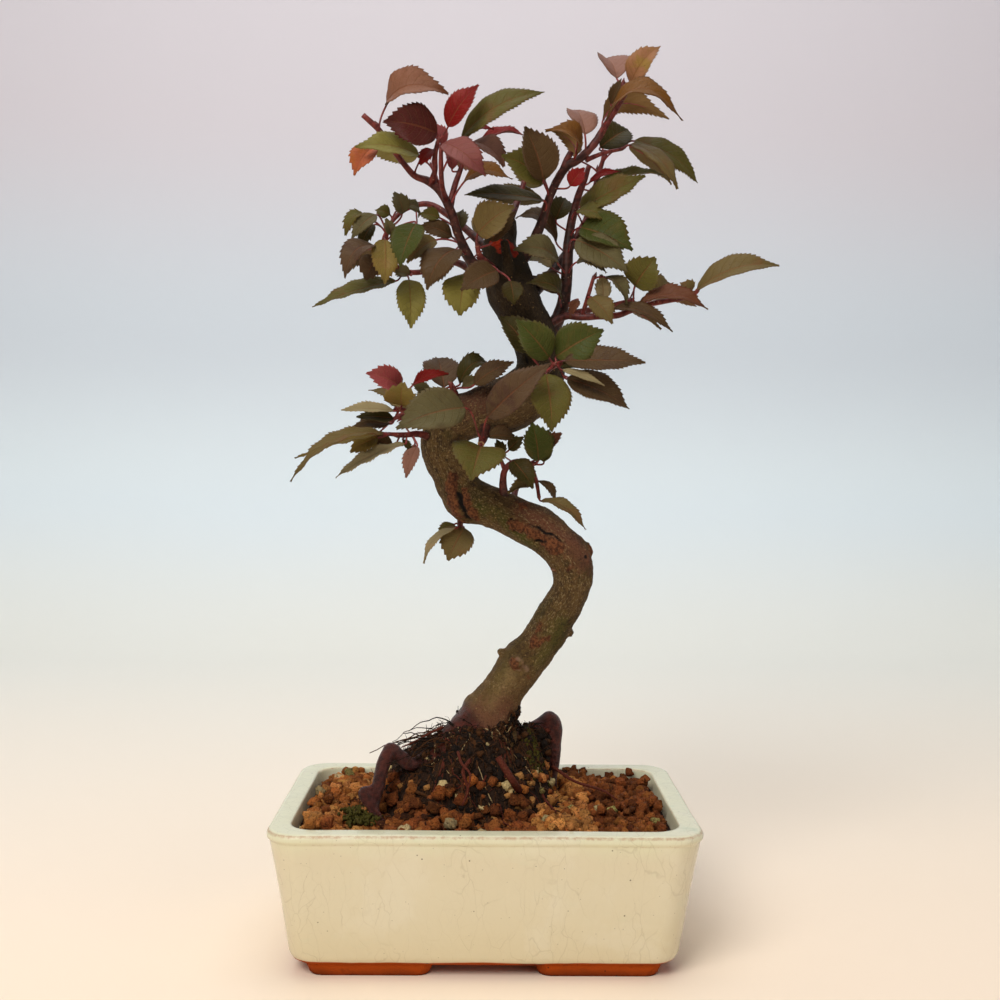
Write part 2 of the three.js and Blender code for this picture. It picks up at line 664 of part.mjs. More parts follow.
        steps: 9,
      },
    ],
    leaves: [
      { from: [402, 214, -2], to: [394, 193, -4], wide: 9, tilt: 30 },
      { from: [404, 206, 2], to: [418, 216, 8], wide: 7, tilt: 60, arch: 3 },
      { from: [367, 217, -4], to: [346, 234, -9], wide: 8, tilt: 45, arch: 4 },
      { from: [376, 215, -7], to: [352, 238, -12], wide: 9, tilt: 20 },
      { from: [373, 244, -9], to: [344, 274, -15], wide: 13, tilt: 50, arch: 6 },
      { from: [378, 258, -2], to: [366, 279, -3], wide: 13, tilt: 10 },
      { from: [374, 225, 1], to: [362, 246, 0], wide: 9, tilt: 20 },
      { from: [385, 240, -9], to: [385, 283, -17], wide: 13, tilt: 10 },
      { from: [396, 281, 2], to: [313, 307, -8], wide: 13, tilt: 60, arch: 1 },
      { from: [409, 280, 0], to: [411, 328, -7], wide: 14.5, tilt: 10 },
      { from: [416, 224, -14], to: [400, 266, -24], wide: 15, tilt: 15 },
    ],
  },
  spur_centre: {
    leafColour: 'bronze',
    stems: [
      {
        path: [[496, 272, 0], [488, 264, -12], [480, 256, -16], [477, 246, -18]],
        wide: [5, 3.4, 2.6, 2],
        steps: 3,
      },
    ],
    leaves: [
      { from: [478, 234, -19], to: [513, 206, -27], wide: 17, tilt: 20 },
      { from: [492, 242, -14], to: [515, 213, -15], wide: 12, tilt: 30 },
      { from: [497, 271, -19], to: [461, 290, -28], wide: 14, tilt: 15 },
      { from: [510, 281, -17], to: [514, 304, -21], wide: 10, tilt: 10, arch: 1 },
      { from: [463, 276, -15], to: [457, 315, -18], wide: 17, tilt: 15 },
    ],
  },
  spur_right: {
    leafColour: 'green',
    stems: [
      {
        path: [[536, 378, -4], [545, 371, -15], [552, 366, -24], [557, 364, -26]],
        wide: [6, 4, 3, 2.4],
        steps: 3,
      },
    ],
    leaves: [
      { from: [528, 352, -15], to: [500, 316, -17], wide: 17, tilt: 25 },
      { from: [549, 358, -26], to: [517, 320, -32], wide: 16, tilt: 10 },
      { from: [556, 357, -25], to: [603, 330, -30], wide: 19, tilt: 15 },
      { from: [563, 361, -30], to: [645, 362, -38], wide: 14, tilt: 35, arch: 0.5 },
      { from: [560, 366, -21], to: [593, 366, -21], wide: 11, tilt: 40 },
      { from: [546, 374, -30], to: [552, 431, -37], wide: 19, tilt: 10 },
      { from: [562, 370, -31], to: [604, 385, -38], wide: 4, tilt: 30, arch: 1 },
      { from: [567, 380, -24], to: [627, 411, -31], wide: 15, tilt: 35, arch: 2 },
    ],
  },
  spur_front: {
    leafColour: 'bronze',
    stems: [
      { path: [[486, 420, -4], [484, 436, -14], [481, 444, -19]], wide: [6, 4, 3], steps: 2 },
    ],
    leaves: [
      { from: [488, 417, -25], to: [550, 363, -44], wide: 16, tilt: 15, arch: 3 },
      { from: [465, 408, -27], to: [397, 427, -38], wide: 21, tilt: 25, arch: 3 },
      { from: [478, 447, -21], to: [470, 480, -42], wide: 24, tilt: 5, arch: 3 },
    ],
  },
  spur_top: {
    leafColour: 'bronze',
    stems: [
      { path: [[462, 412, 0], [455, 394, -1], [450, 382, -2]], wide: [5, 3.4, 2.4], steps: 2 },
    ],
    leaves: [
      { from: [444, 388, -3], to: [437, 358, 12], wide: 18, tilt: 15 },
      { from: [460, 384, 0], to: [494, 368, 4], wide: 11, tilt: 60, arch: 6 },
    ],
  },
  red_shoot_low: {
    leafColour: 'red',
    stems: [
      {
        path: [[440, 412, 2], [424, 406, -4], [410, 400, -10], [406, 394, -12]],
        wide: [4, 3, 2.4, 2],
        steps: 3,
      },
    ],
    leaves: [
      { from: [400, 387, -13], to: [367, 373, -19], wide: 12, tilt: 20, arch: 3 },
      { from: [413, 385, -12], to: [448, 374, -16], wide: 6, tilt: 30, arch: 3 },
    ],
  },
  shoot_left: {
    leafColour: 'tan',
    stems: [
      {
        path: [[440, 426, 0], [420, 417, -8], [405, 411, -16], [399, 409, -18]],
        wide: [5, 3, 2.4, 2],
        steps: 3,
      },
    ],
    leaves: [
      { from: [402, 405, -20], to: [403, 383, -24], wide: 15, tilt: 10 },
      { from: [394, 411, -20], to: [342, 409, -28], wide: 7, tilt: 60, arch: 0.5 },
      { from: [412, 402, 0], to: [369, 389, 4], wide: 7, tilt: 60, arch: 1 },
      { from: [394, 419, -18], to: [357, 417, -21], wide: 9, tilt: 50, arch: 0.5 },
    ],
  },
  shoot_low_left: {
    leafColour: 'tan',
    stems: [
      {
        path: [[436, 440, 0], [419, 434, -8], [404, 435, -14], [389, 434, -18]],
        wide: [5, 3, 2.4, 1.8],
        steps: 4,
      },
    ],
    leaves: [
      { from: [385, 433, -18], to: [295, 456, -32], wide: 5, tilt: 55, arch: 1 },
      { from: [384, 434, -23], to: [290, 478, -38], wide: 8, tilt: 60, arch: 7 },
      { from: [378, 438, -16], to: [351, 452, -18], wide: 9, tilt: 20 },
      { from: [393, 447, -13], to: [367, 440, -12], wide: 8, tilt: 25 },
      { from: [405, 445, -15], to: [336, 478, -26], wide: 5, tilt: 60 },
      { from: [417, 447, -15], to: [406, 477, -20], wide: 8, tilt: 15 },
    ],
  },
  shoot_low_right: {
    leafColour: 'green',
    stems: [
      {
        path: [[505, 500, -2], [503, 484, -6], [505, 470, -7], [514, 462, -8], [532, 464, -8]],
        wide: [5, 3.4, 2.8, 2.4, 2],
        steps: 5,
      },
      { path: [[530, 464, -8], [536, 480, -8], [539, 497, -10]], wide: [2.2, 1.8, 1.6], steps: 2 },
    ],
    leaves: [
      { from: [538, 460, -8], to: [533, 425, -8], wide: 13, tilt: 15 },
      { from: [543, 461, -5], to: [548, 431, -2], wide: 9, tilt: 20 },
      { from: [513, 461, -12], to: [533, 488, -18], wide: 12, tilt: 15 },
      { from: [538, 481, -8], to: [555, 502, -8], wide: 5, tilt: 45, arch: 3 },
      { from: [531, 484, -8], to: [508, 493, -11], wide: 7, tilt: 40, arch: 1 },
      { from: [541, 501, -11], to: [585, 529, -17], wide: 8, tilt: 55, arch: 4 },
    ],
  },
  shoot_under: {
    leafColour: 'green',
    stems: [
      { path: [[462, 500, 4], [461, 516, 11], [460, 526, 13]], wide: [5, 3.4, 2.6], steps: 2 },
    ],
    leaves: [
      { from: [461, 529, 12], to: [447, 560, 6], wide: 17, tilt: 10 },
      { from: [456, 528, 8], to: [423, 562, 4], wide: 5, tilt: 55, arch: 4 },
      { from: [455, 524, 16], to: [441, 538, 22], wide: 9, tilt: 20, arch: 1 },
    ],
  },
};

// The far side of the crown, which the photograph hides. Its stems carry leaves like those in
// front of them: each is the front leaf set as far behind, turned to face back, a little smaller
// and moved a little by a fixed draw. like holds [shoot, number of the leaf].
const FAR_DEPTH = 18;
const FAR_SIZE = 0.86;
const FAR_JITTER = 7;
const FAR_SEED = 5;
const FAR_SPRAYS = {
  far_left: {
    leafColour: 'olive',
    stems: [
      {
        path: [[500, 262, 8], [478, 240, 22], [452, 218, 29], [428, 204, 32], [404, 210, 32], [388, 226, 30]],
        wide: [5, 3.8, 3.2, 2.8, 2.4, 1.8],
        steps: 6,
      },
      { path: [[452, 218, 29], [440, 190, 32], [432, 165, 34]], wide: [2.8, 2.2, 1.8], steps: 2 },
    ],
    like: [
      ['branch_left', 5], ['branch_left', 1], ['red_shoot_left', 0], ['pink_shoot', 0], ['spur_centre', 0],
      ['branch_far_left', 10], ['branch_far_left', 7], ['branch_far_left', 4], ['spur_centre', 4],
    ],
  },
  far_top: {
    leafColour: 'olive',
    stems: [{ path: [[508, 222, 8], [518, 200, 20], [526, 176, 26]], wide: [4, 3, 2.2], steps: 3 }],
    like: [['branch_centre', 0], ['branch_centre', 1], ['branch_centre', 11]],
  },
  far_right: {
    leafColour: 'olive',
    stems: [
      {
        path: [[528, 300, 8], [550, 275, 22], [572, 245, 28], [588, 215, 30], [597, 180, 30], [606, 150, 28]],
        wide: [5.4, 4.4, 3.8, 3, 2.6, 2],
        steps: 6,
      },
    ],
    like: [
      ['branch_right', 5], ['branch_right', 6], ['branch_right', 0], ['branch_centre', 9],
      ['branch_centre', 6], ['branch_centre', 2], ['branch_right', 7],
    ],
  },
  far_low_right: {
    leafColour: 'olive',
    stems: [
      {
        path: [[536, 334, 8], [565, 316, 20], [600, 308, 25], [634, 300, 28]],
        wide: [4.4, 3.4, 2.6, 2],
        steps: 4,
      },
    ],
    like: [['branch_low_right', 6], ['branch_low_right', 5], ['branch_low_right', 3], ['branch_low_right', 1]],
  },
  far_whorl: {
    leafColour: 'green',
    stems: [{ path: [[524, 372, 6], [544, 368, 22], [554, 364, 32]], wide: [5, 3.6, 2.4], steps: 3 }],
    like: [['spur_right', 2], ['spur_right', 3], ['spur_right', 5], ['spur_right', 7], ['spur_right', 0]],
  },
  far_bend: {
    leafColour: 'bronze',
    stems: [
      {
        path: [[462, 414, 6], [440, 406, 20], [415, 408, 27], [392, 420, 30]],
        wide: [5, 3.6, 2.8, 2],
        steps: 4,
      },
    ],
    like: [
      ['spur_front', 1], ['shoot_left', 0], ['red_shoot_low', 0], ['shoot_left', 3], ['shoot_low_left', 2],
      ['shoot_low_left', 5],
    ],
  },
  far_low: {
    leafColour: 'green',
    stems: [{ path: [[512, 508, 4], [516, 488, 17], [524, 470, 21]], wide: [4, 3, 2.2], steps: 3 }],
    like: [['shoot_low_right', 0], ['shoot_low_right', 2], ['spur_front', 2]],
  },
};

function farLeaf({ from, to, wide, tilt = 20, arch = 2 }, draw) {
  const jitter = () => (draw() - 0.5) * FAR_JITTER;
  const start = [from[0] + jitter(), from[1] + jitter(), FAR_DEPTH - from[2] + jitter()];
  const end = [to[0] + jitter(), to[1] + jitter(), FAR_DEPTH - to[2] + jitter()];
  const tip = end.map((value, n) => start[n] + (value - start[n]) * FAR_SIZE);
  return { from: start, to: tip, wide: wide * FAR_SIZE, tilt: 180 - tilt, arch };
}

const farDraw = seededDraw(FAR_SEED);
for (const spray of Object.values(FAR_SPRAYS)) {
  spray.leaves = spray.like.map(([shoot, number]) => farLeaf(SPRAYS[shoot].leaves[number], farDraw));
}

// Materials and the finished tree
const COLOURS = {
  glaze: 0xd9dcc0,
  soil: 0xa85a2c,
  rootMat: 0x2c1f1a,
  bark: 0x5f4a36,
  olive: 0x5c5a35,
  green: 0x4a6130,
  bronze: 0x5e4f3b,
  tan: 0x8a7a4a,
  red: 0x8c2f33,
  screen: 0x222222,
};

function material(colour, roughness) {
  return new THREE.MeshStandardMaterial({ color: COLOURS[colour], roughness, metalness: 0 });
}

function part(name, solid, colour, roughness) {
  const mesh = new THREE.Mesh(geometryOf(solid), material(colour, roughness));
  mesh.name = name;
  return mesh;
}

// A shoot is cut clear of the old wood and, with on, of the branch that it grows from.
function spraySolid({ stems, leaves, on }, woodSeat) {
  const curves = stems.map(({ path }) => new THREE.CatmullRomCurve3(path.map(seen), false, 'centripetal'));
  const pieces = [...stems.map((stem) => limb(stem)), ...leaves.map((each) => leaf(each, curves))];
  const seats = on ? SPRAYS[on].stems.map((stem) => limb(stem, SEAT_GAP)) : [];
  return largestBody(joined(pieces).subtract(joined([woodSeat, ...seats])));
}

const wood = woodSolid(0);
const woodSeat = woodSolid(SEAT_GAP);
const rootBall = largestBody(moundSolid(0).subtract(woodSeat));
const pot = potSolid();
let soil = soilBlock().subtract(moundSolid(SEAT_GAP)).subtract(woodSeat);
for (const side of [-1, 1]) {
  soil = soil.subtract(screenBlock(side, SCREEN_SIZE + 2 * SEAT_GAP, SCREEN_THICKNESS + SEAT_GAP));
}

const plant = new THREE.Group();
plant.add(part('pot', pot, 'glaze', 0.25));
plant.add(part('drain_screen_left', screenSolid(-1), 'screen', 0.6));
plant.add(part('drain_screen_right', screenSolid(1), 'screen', 0.6));
plant.add(part('soil', largestBody(soil), 'soil', 0.95));
plant.add(part('root_ball', rootBall, 'rootMat', 0.95));
plant.add(part('trunk', wood, 'bark', 0.85));
for (const [name, spray] of Object.entries({ ...SPRAYS, ...FAR_SPRAYS })) {
  plant.add(part(name, spraySolid(spray, woodSeat), spray.leafColour, 0.5));
}

// The part's origin is the bottom centre of its bounding box.
const box = new THREE.Box3().setFromObject(plant);
const centre = box.getCenter(new THREE.Vector3());
plant.position.set(-centre.x, -centre.y, -box.min.z);
const group = new THREE.Group();
group.add(plant);

export default group;
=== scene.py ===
# %% [markdown]
# # An apple bonsai in a glazed pot
#
# A young apple tree with two bends in its trunk stands in a rectangular pot. Its parts come from a
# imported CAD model, which gives every piece its place and size. Here each of them gets the finer
# shape and the finish of the real one: crackled glaze, clay grains, matted roots, bark, leaves.

import math
import random

import bmesh
import bpy
from mathutils import Matrix, Vector, kdtree, noise
from mathutils.bvhtree import BVHTree


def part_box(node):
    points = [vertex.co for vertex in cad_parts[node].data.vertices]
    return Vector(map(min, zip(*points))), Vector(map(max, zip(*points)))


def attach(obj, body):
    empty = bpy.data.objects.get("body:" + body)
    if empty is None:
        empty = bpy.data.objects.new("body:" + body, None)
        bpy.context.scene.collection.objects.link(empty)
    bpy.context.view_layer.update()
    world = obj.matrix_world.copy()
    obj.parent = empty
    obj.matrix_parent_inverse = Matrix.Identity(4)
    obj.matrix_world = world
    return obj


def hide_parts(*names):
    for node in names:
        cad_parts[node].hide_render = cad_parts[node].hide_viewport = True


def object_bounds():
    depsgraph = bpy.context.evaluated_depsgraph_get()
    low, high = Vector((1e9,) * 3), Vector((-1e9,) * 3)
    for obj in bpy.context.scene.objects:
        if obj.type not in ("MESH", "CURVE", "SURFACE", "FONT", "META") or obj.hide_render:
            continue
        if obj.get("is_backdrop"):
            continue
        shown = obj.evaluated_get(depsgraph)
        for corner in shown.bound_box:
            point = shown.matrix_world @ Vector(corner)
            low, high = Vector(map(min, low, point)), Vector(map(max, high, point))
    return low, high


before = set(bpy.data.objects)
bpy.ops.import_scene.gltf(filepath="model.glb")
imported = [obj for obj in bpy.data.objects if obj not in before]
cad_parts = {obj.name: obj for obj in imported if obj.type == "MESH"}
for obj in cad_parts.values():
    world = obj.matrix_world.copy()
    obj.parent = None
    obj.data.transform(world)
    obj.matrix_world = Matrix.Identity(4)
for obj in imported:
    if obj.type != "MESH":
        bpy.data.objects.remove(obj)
cad_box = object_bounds()
print("CAD nodes:", len(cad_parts), "box:", [round(v, 4) for v in (*cad_box[0], *cad_box[1])])

# %% [markdown]
# ## One measure for the whole plant
#
# A bonsai maker thinks in millimetres from the middle of the pot's foot, and Blender thinks in
# metres. Every mesh is therefore modelled in millimetres about the pot, and one matrix brings it
# into the CAD frame at the end. The pot's CAD box says where that is.

# %% From millimetres about the pot to the frame
MM = 0.001
pot_low, pot_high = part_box("pot")
POT_FOOT = Vector(((pot_low.x + pot_high.x) / 2, (pot_low.y + pot_high.y) / 2, pot_low.z))
TO_FRAME = Matrix.Translation(POT_FOOT) @ Matrix.Scale(MM, 4)
print("pot stands at", [round(v, 5) for v in POT_FOOT])


def as_mesh(bm, name):
    """Turns a bmesh into a mesh and frees it."""
    mesh = bpy.data.meshes.new(name)
    bm.to_mesh(mesh)
    bm.free()
    return mesh


def new_object(name, data):
    """Puts an object with this mesh, light or camera in the scene."""
    made = bpy.data.objects.new(name, data)
    bpy.context.scene.collection.objects.link(made)
    return made


def finished(bm, name, materials, slot, *nodes):
    """Turns a mesh modelled in millimetres into a piece of the bonsai that stands for CAD nodes."""
    bmesh.ops.transform(bm, matrix=TO_FRAME, verts=bm.verts)
    mesh = as_mesh(bm, name)
    for material in materials:
        mesh.materials.append(material)
    mesh.polygons.foreach_set("use_smooth", [True] * len(mesh.polygons))
    piece = new_object(name, mesh)
    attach(piece, "root")
    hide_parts(*nodes)
    triangles = sum(len(face.vertices) - 2 for face in mesh.polygons)
    print(f"{name}: {triangles} triangles")
    return piece


# %% [markdown]
# ## The photographer's place
#
# The camera stands a little above the middle of the tree, half a metre in front of it. A place on
# the plant is given as [column, row, depth]: where it lies in a picture of 1000 by 1000, and how
# many millimetres it is behind the middle of the pot. The same turn that aims the camera then tells
# where such a place is in space, so branches can be set down as a painter would see them.

# %% Camera and the places that it sees
# the eye is in millimetres, the picture and the focal length in columns, the turns in radians
EYE = Vector((-3, -555.5, 213))
PICTURE, FOCAL = 1000, 1240
PITCH, ROLL, YAW = 0.031, 0.0103, 0.015
TURNS = ((-YAW, "Z"), (-PITCH, "X"), (-ROLL, "Y"))
yaw, pitch, roll = (Matrix.Rotation(turn, 3, axis) for turn, axis in TURNS)
AIM = yaw @ pitch @ roll


def seen(place):
    """The point, in millimetres about the pot, that shows at a column and row, at a depth."""
    column, row, depth = place
    ray = AIM @ Vector(((column - PICTURE / 2) / FOCAL, 1, (PICTURE / 2 - row) / FOCAL))
    return EYE + ray * ((depth - EYE.y) / ray.y)


camera_data = bpy.data.cameras.new("camera")
camera_data.sensor_width = 36
camera_data.lens = camera_data.sensor_width * FOCAL / PICTURE
camera_data.clip_start, camera_data.clip_end = 0.01, 20
camera = new_object("camera", camera_data)
right, ahead, above = (AIM @ Vector(axis) for axis in ((1, 0, 0), (0, 1, 0), (0, 0, 1)))
camera_turn = Matrix((right, above, -ahead)).transposed().to_4x4()
camera.matrix_world = Matrix.Translation(TO_FRAME @ EYE) @ camera_turn
bpy.context.scene.camera = camera
bpy.context.scene.view_settings.view_transform = "Standard"
print("camera at", [round(v, 3) for v in camera.location], "lens", round(camera_data.lens, 2), "mm")

# %% [markdown]
# ## Shader nodes in short
#
# Procedural finishes need many small nodes. This helper places a node, joins its inputs to numbers
# or to other nodes, and gives back an output, so that a finish reads like a recipe. Colours are
# written as on a paint chart, in hexadecimal, and turned into the linear values that light needs.

# %% Helpers for node trees


def paint(chart):
    """A colour from a paint chart, such as "c8b464", as linear red, green, blue and alpha."""
    values = [int(chart[n:n + 2], 16) / 255 for n in (0, 2, 4)]
    linear = [v / 12.92 if v <= 0.04045 else ((v + 0.055) / 1.055) ** 2.4 for v in values]
    return (*linear, 1)


class Nodes:
    """Places shader nodes in one tree and joins them."""

    def __init__(self, tree):
        self.tree = tree

    def feed(self, socket, value):
        if isinstance(value, bpy.types.NodeSocket):
            self.tree.links.new(value, socket)
        else:
            socket.default_value = value

    def node(self, kind, inputs=None, **settings):
        made = self.tree.nodes.new(kind)
        for name, value in settings.items():
            setattr(made, name, value)
        for name, value in (inputs or {}).items():
            self.feed(made.inputs[name], value)
        return made

    def math(self, operation, first, second=0.0):
        return self.node("ShaderNodeMath", {0: first, 1: second}, operation=operation).outputs[0]

    def plus(self, first, second):
        return self.math("ADD", first, second)

    def minus(self, first, second):
        return self.math("SUBTRACT", first, second)

    def times(self, first, second):
        return self.math("MULTIPLY", first, second)

    def inverse(self, mask):
        return self.minus(1.0, mask)

    def step(self, value, low, high):
        """0 below low and 1 above high, with a soft change between them."""
        inputs = {"Value": value, "From Min": low, "From Max": high}
        return self.node("ShaderNodeMapRange", inputs, interpolation_type="SMOOTHSTEP").outputs[0]

    def mix(self, share, first, second):
        inputs = {0: share, 6: first, 7: second}
        return self.node("ShaderNodeMix", inputs, data_type="RGBA").outputs[2]

    def tones(self, share, first, second):
        """Goes from one tone of the paint chart to another."""
        return self.mix(share, paint(first), paint(second))

    def lay(self, colour, tone, mask, strength=None):
        """Lays a tone from the paint chart over a colour, where a mask is bright."""
        share = mask if strength is None else self.times(mask, strength)
        return self.mix(share, colour, paint(tone))

    def noise(self, vector, scale, detail=4.0, roughness=0.55, distortion=0.0):
        inputs = {"Vector": vector, "Scale": scale, "Detail": detail}
        inputs.update({"Roughness": roughness, "Distortion": distortion})
        return self.node("ShaderNodeTexNoise", inputs).outputs[0]

    def cells(self, vector, scale, feature="F1"):
        inputs = {"Vector": vector, "Scale": scale}
        return self.node("ShaderNodeTexVoronoi", inputs, feature=feature)

    def place(self):
        return self.node("ShaderNodeTexCoord").outputs["Object"]

    def read(self, name, output="Fac"):
        return self.node("ShaderNodeAttribute", attribute_name=name).outputs[output]

    def stretch(self, vector, scale):
        return self.node("ShaderNodeMapping", {"Vector": vector, "Scale": scale}).outputs[0]

    def part(self, vector, axis):
        return self.node("ShaderNodeSeparateXYZ", {0: vector}).outputs[axis]

    def group(self, group, **inputs):
        made = self.tree.nodes.new("ShaderNodeGroup")
        made.node_tree = group
        for name, value in inputs.items():
            self.feed(made.inputs[name.replace("_", " ")], value)
        return made.outputs

    def bump(self, height, strength, distance):
        inputs = {"Height": height, "Strength": strength, "Distance": distance}
        return self.node("ShaderNodeBump", inputs).outputs[0]


def new_group(name, vector, numbers, outputs):
    """A node group with named sockets: a vector and numbers go in, and masks or heights come out.

    Returns the group, its nodes, its inputs and a way out."""
    group = bpy.data.node_groups.new(name, "ShaderNodeTree")
    sockets = group.interface
    sockets.new_socket(name=vector, in_out="INPUT", socket_type="NodeSocketVector")
    for label, value in numbers.items():
        made = sockets.new_socket(name=label, in_out="INPUT", socket_type="NodeSocketFloat")
        made.default_value = value
    for label in outputs:
        sockets.new_socket(name=label, in_out="OUTPUT", socket_type="NodeSocketFloat")
    nodes = Nodes(group)
    way_in = group.nodes.new("NodeGroupInput").outputs
    way_out = group.nodes.new("NodeGroupOutput").inputs
    return group, nodes, way_in, lambda name, value: nodes.feed(way_out[name], value)


def new_material(name):
    """A material with one Principled shader. Returns the material, its nodes and the shader."""
    material = bpy.data.materials.new(name)
    material.use_nodes = True
    nodes = Nodes(material.node_tree)
    shader = material.node_tree.nodes["Principled BSDF"]
    return material, nodes, shader


def finish(nodes, shader, **sockets):
    """Feeds the shader's sockets, such as Base_Color or Normal."""
    for name, value in sockets.items():
        nodes.feed(shader.inputs[name.replace("_", " ")], value)


print("node helpers ready")

# %% [markdown]
# ## Three effects that many finishes share
#
# Fired clay, soil, bark and leaves are all uneven in the same three ways: broad clouds of a second
# colour, fine grit that catches the light, and small dark specks. Each is a node group, built once,
# with inputs for its size, and a short function lets every material use it with its own values.

# %% Node groups: clouds, grit and specks
CLOUDS, inner, given, give = new_group(
    "Clouds", "Vector", {"Size per metre": 60.0, "Cover": 0.5}, ["Mask"]
)
cloud = inner.noise(given["Vector"], given["Size per metre"], 4.0, 0.6, 0.4)
edge = inner.minus(0.74, inner.times(given["Cover"], 0.48))
give("Mask", inner.step(cloud, edge, inner.plus(edge, 0.16)))

GRIT, inner, given, give = new_group("Grit", "Vector", {"Size per metre": 900.0}, ["Height"])
coarse = inner.noise(given["Vector"], given["Size per metre"], 6.0, 0.65)
pit_size = inner.times(given["Size per metre"], 1.7)
pits = inner.cells(given["Vector"], pit_size).outputs["Distance"]
give("Height", inner.plus(coarse, inner.times(pits, 0.5)))

SPECKS, inner, given, give = new_group(
    "Specks", "Vector", {"Size per metre": 300.0, "Share": 0.1}, ["Mask"]
)
dots = inner.cells(given["Vector"], given["Size per metre"])
small = inner.inverse(inner.step(dots.outputs["Distance"], 0.12, 0.24))
chosen = inner.node("ShaderNodeSeparateColor", {0: dots.outputs["Color"]}).outputs[0]
give("Mask", inner.times(small, inner.math("LESS_THAN", chosen, given["Share"])))


def clouds(nodes, place, size, cover):
    return nodes.group(CLOUDS, Vector=place, Size_per_metre=size, Cover=cover)["Mask"]


def grit(nodes, place, size):
    return nodes.group(GRIT, Vector=place, Size_per_metre=size)["Height"]


def specks(nodes, place, size, share):
    return nodes.group(SPECKS, Vector=place, Size_per_metre=size, Share=share)["Mask"]


print("node groups:", [group.name for group in bpy.data.node_groups])

# %% [markdown]
# ## The pot
#
# The pot is a slab-built rectangle with rounded corners, walls that lean out, a flat rim land and
# four feet. A box with bevelled corners gives its outline. Its top face is then extruded from level
# to level, and scaled each time by the wall's inset: up the outside, across the rim, down the
# inside. That keeps one clean skin from foot to floor. Each level also says how thin the glaze has
# run there, for the brown line along the rim.

# %% Outline of a pot with rounded corners
POT_WIDTH, POT_DEPTH, POT_CORNER = 180, 122, 13


def corner_block(width, depth, corner, low, high, steps=10):
    """A box from low to high whose four standing edges are rounded. Returns it and its top face."""
    bm = bmesh.new()
    bmesh.ops.create_cube(bm, size=1)
    bmesh.ops.scale(bm, vec=(width, depth, high - low), verts=bm.verts)
    bmesh.ops.translate(bm, vec=(0, 0, (low + high) / 2), verts=bm.verts)
    standing = [edge for edge in bm.edges if edge.verts[0].co.z != edge.verts[1].co.z]
    bmesh.ops.bevel(
        bm, geom=standing, offset=corner, offset_type="OFFSET", segments=steps, profile=0.5,
        affect="EDGES", material=-1,
    )
    top = max(bm.faces, key=lambda face: face.calc_center_median().z)
    return bm, top


def raise_face(bm, face, height, wide, deep):
    """Extrudes a level face and gives its copy a new height, width and depth. Returns the copy."""
    face = bmesh.ops.extrude_discrete_faces(bm, faces=[face])["faces"][0]
    half_wide = max(vert.co.x for vert in face.verts)
    half_deep = max(vert.co.y for vert in face.verts)
    bmesh.ops.scale(bm, vec=(wide / 2 / half_wide, deep / 2 / half_deep, 1), verts=face.verts)
    for vert in face.verts:
        vert.co.z = height
    return face


# %% Walls, rim land and inside
# the underside's height and inset from the widest line, and then those of its worn edge
POT_FOOTLINE = (5, 11.6, 5.4, 10.9)
# the outside and then the inside, as [height, inset from the widest line, how thin the glaze is]
POT_LEVELS = [
    (6.4, 9.6, 0), (7.6, 8.9, 0), (9.5, 8.2, 0), (20, 6.7, 0), (32, 5, 0),
    (45, 3, 0), (57.2, 1, 0), (57.9, 0.75, 0.5), (58.6, 0.15, 0.1), (59.3, 0, 0), (60.2, 0, 0.15),
    (60.9, 0.2, 0.7), (61.5, 0.65, 0.9), (61.9, 1.3, 0.35), (62, 2.2, 0), (62, 4.5, 0),
    (62, 7.6, 0), (61.9, 8.5, 0.2), (61.5, 9.05, 0.8), (60.8, 9.3, 0.3), (59, 9.5, 0),
    (45, 11.3, 0), (28, 13.3, 0), (14, 14.9, 0), (11.6, 15.9, 0), (11, 17.5, 0),
]
LONG_EDGE, WALL_CUTS = 30, 13
HAND_WAVE, HAND_WAVE_SIZE, UPRIGHT_WAVE_SHARE = 0.35, 34, 0.4

low, inset, high, next_inset = POT_FOOTLINE
bm, top = corner_block(POT_WIDTH - 2 * inset, POT_DEPTH - 2 * inset, POT_CORNER - 2, low, high)
spread = [(size / 2 - next_inset) / (size / 2 - inset) for size in (POT_WIDTH, POT_DEPTH)]
bmesh.ops.scale(bm, verts=top.verts, vec=(*spread, 1))
thin_glaze = bm.verts.layers.float.new("thin_glaze")
for height, inset, thin in POT_LEVELS:
    top = raise_face(bm, top, height, POT_WIDTH - 2 * inset, POT_DEPTH - 2 * inset)
    for vert in top.verts:
        vert[thin_glaze] = thin
long_edges = [edge for edge in bm.edges if edge.calc_length() > LONG_EDGE]
bmesh.ops.subdivide_edges(bm, edges=long_edges, cuts=WALL_CUTS, use_grid_fill=True)
for vert in bm.verts:
    # slabs are never quite flat: the walls swell and dip by a fraction of a millimetre
    wave = noise.noise_vector(vert.co / HAND_WAVE_SIZE) * HAND_WAVE
    vert.co += Vector((wave.x, wave.y, wave.z * UPRIGHT_WAVE_SHARE))
bmesh.ops.triangulate(bm, faces=[face for face in bm.faces if len(face.verts) > 4])
bmesh.ops.recalc_face_normals(bm, faces=bm.faces)
print("pot shell:", len(bm.faces), "faces")

# %% [markdown]
# ## Feet and drain holes
#
# The feet are blocks of the same clay, pressed on before firing, and the drain holes are cut
# through the floor. Both could be drawn into the floor's own faces, but a Boolean modifier joins
# or cuts whole solids just as a potter does, and leaves one closed skin.

# %% Join the feet, cut the drains
FOOT_SIZE, FOOT_PLACE, FOOT_CORNER = (53, 35), (47.5, 32.5), 6
SOLE_INSET, SOLE_TOP = 1.8, 0.4
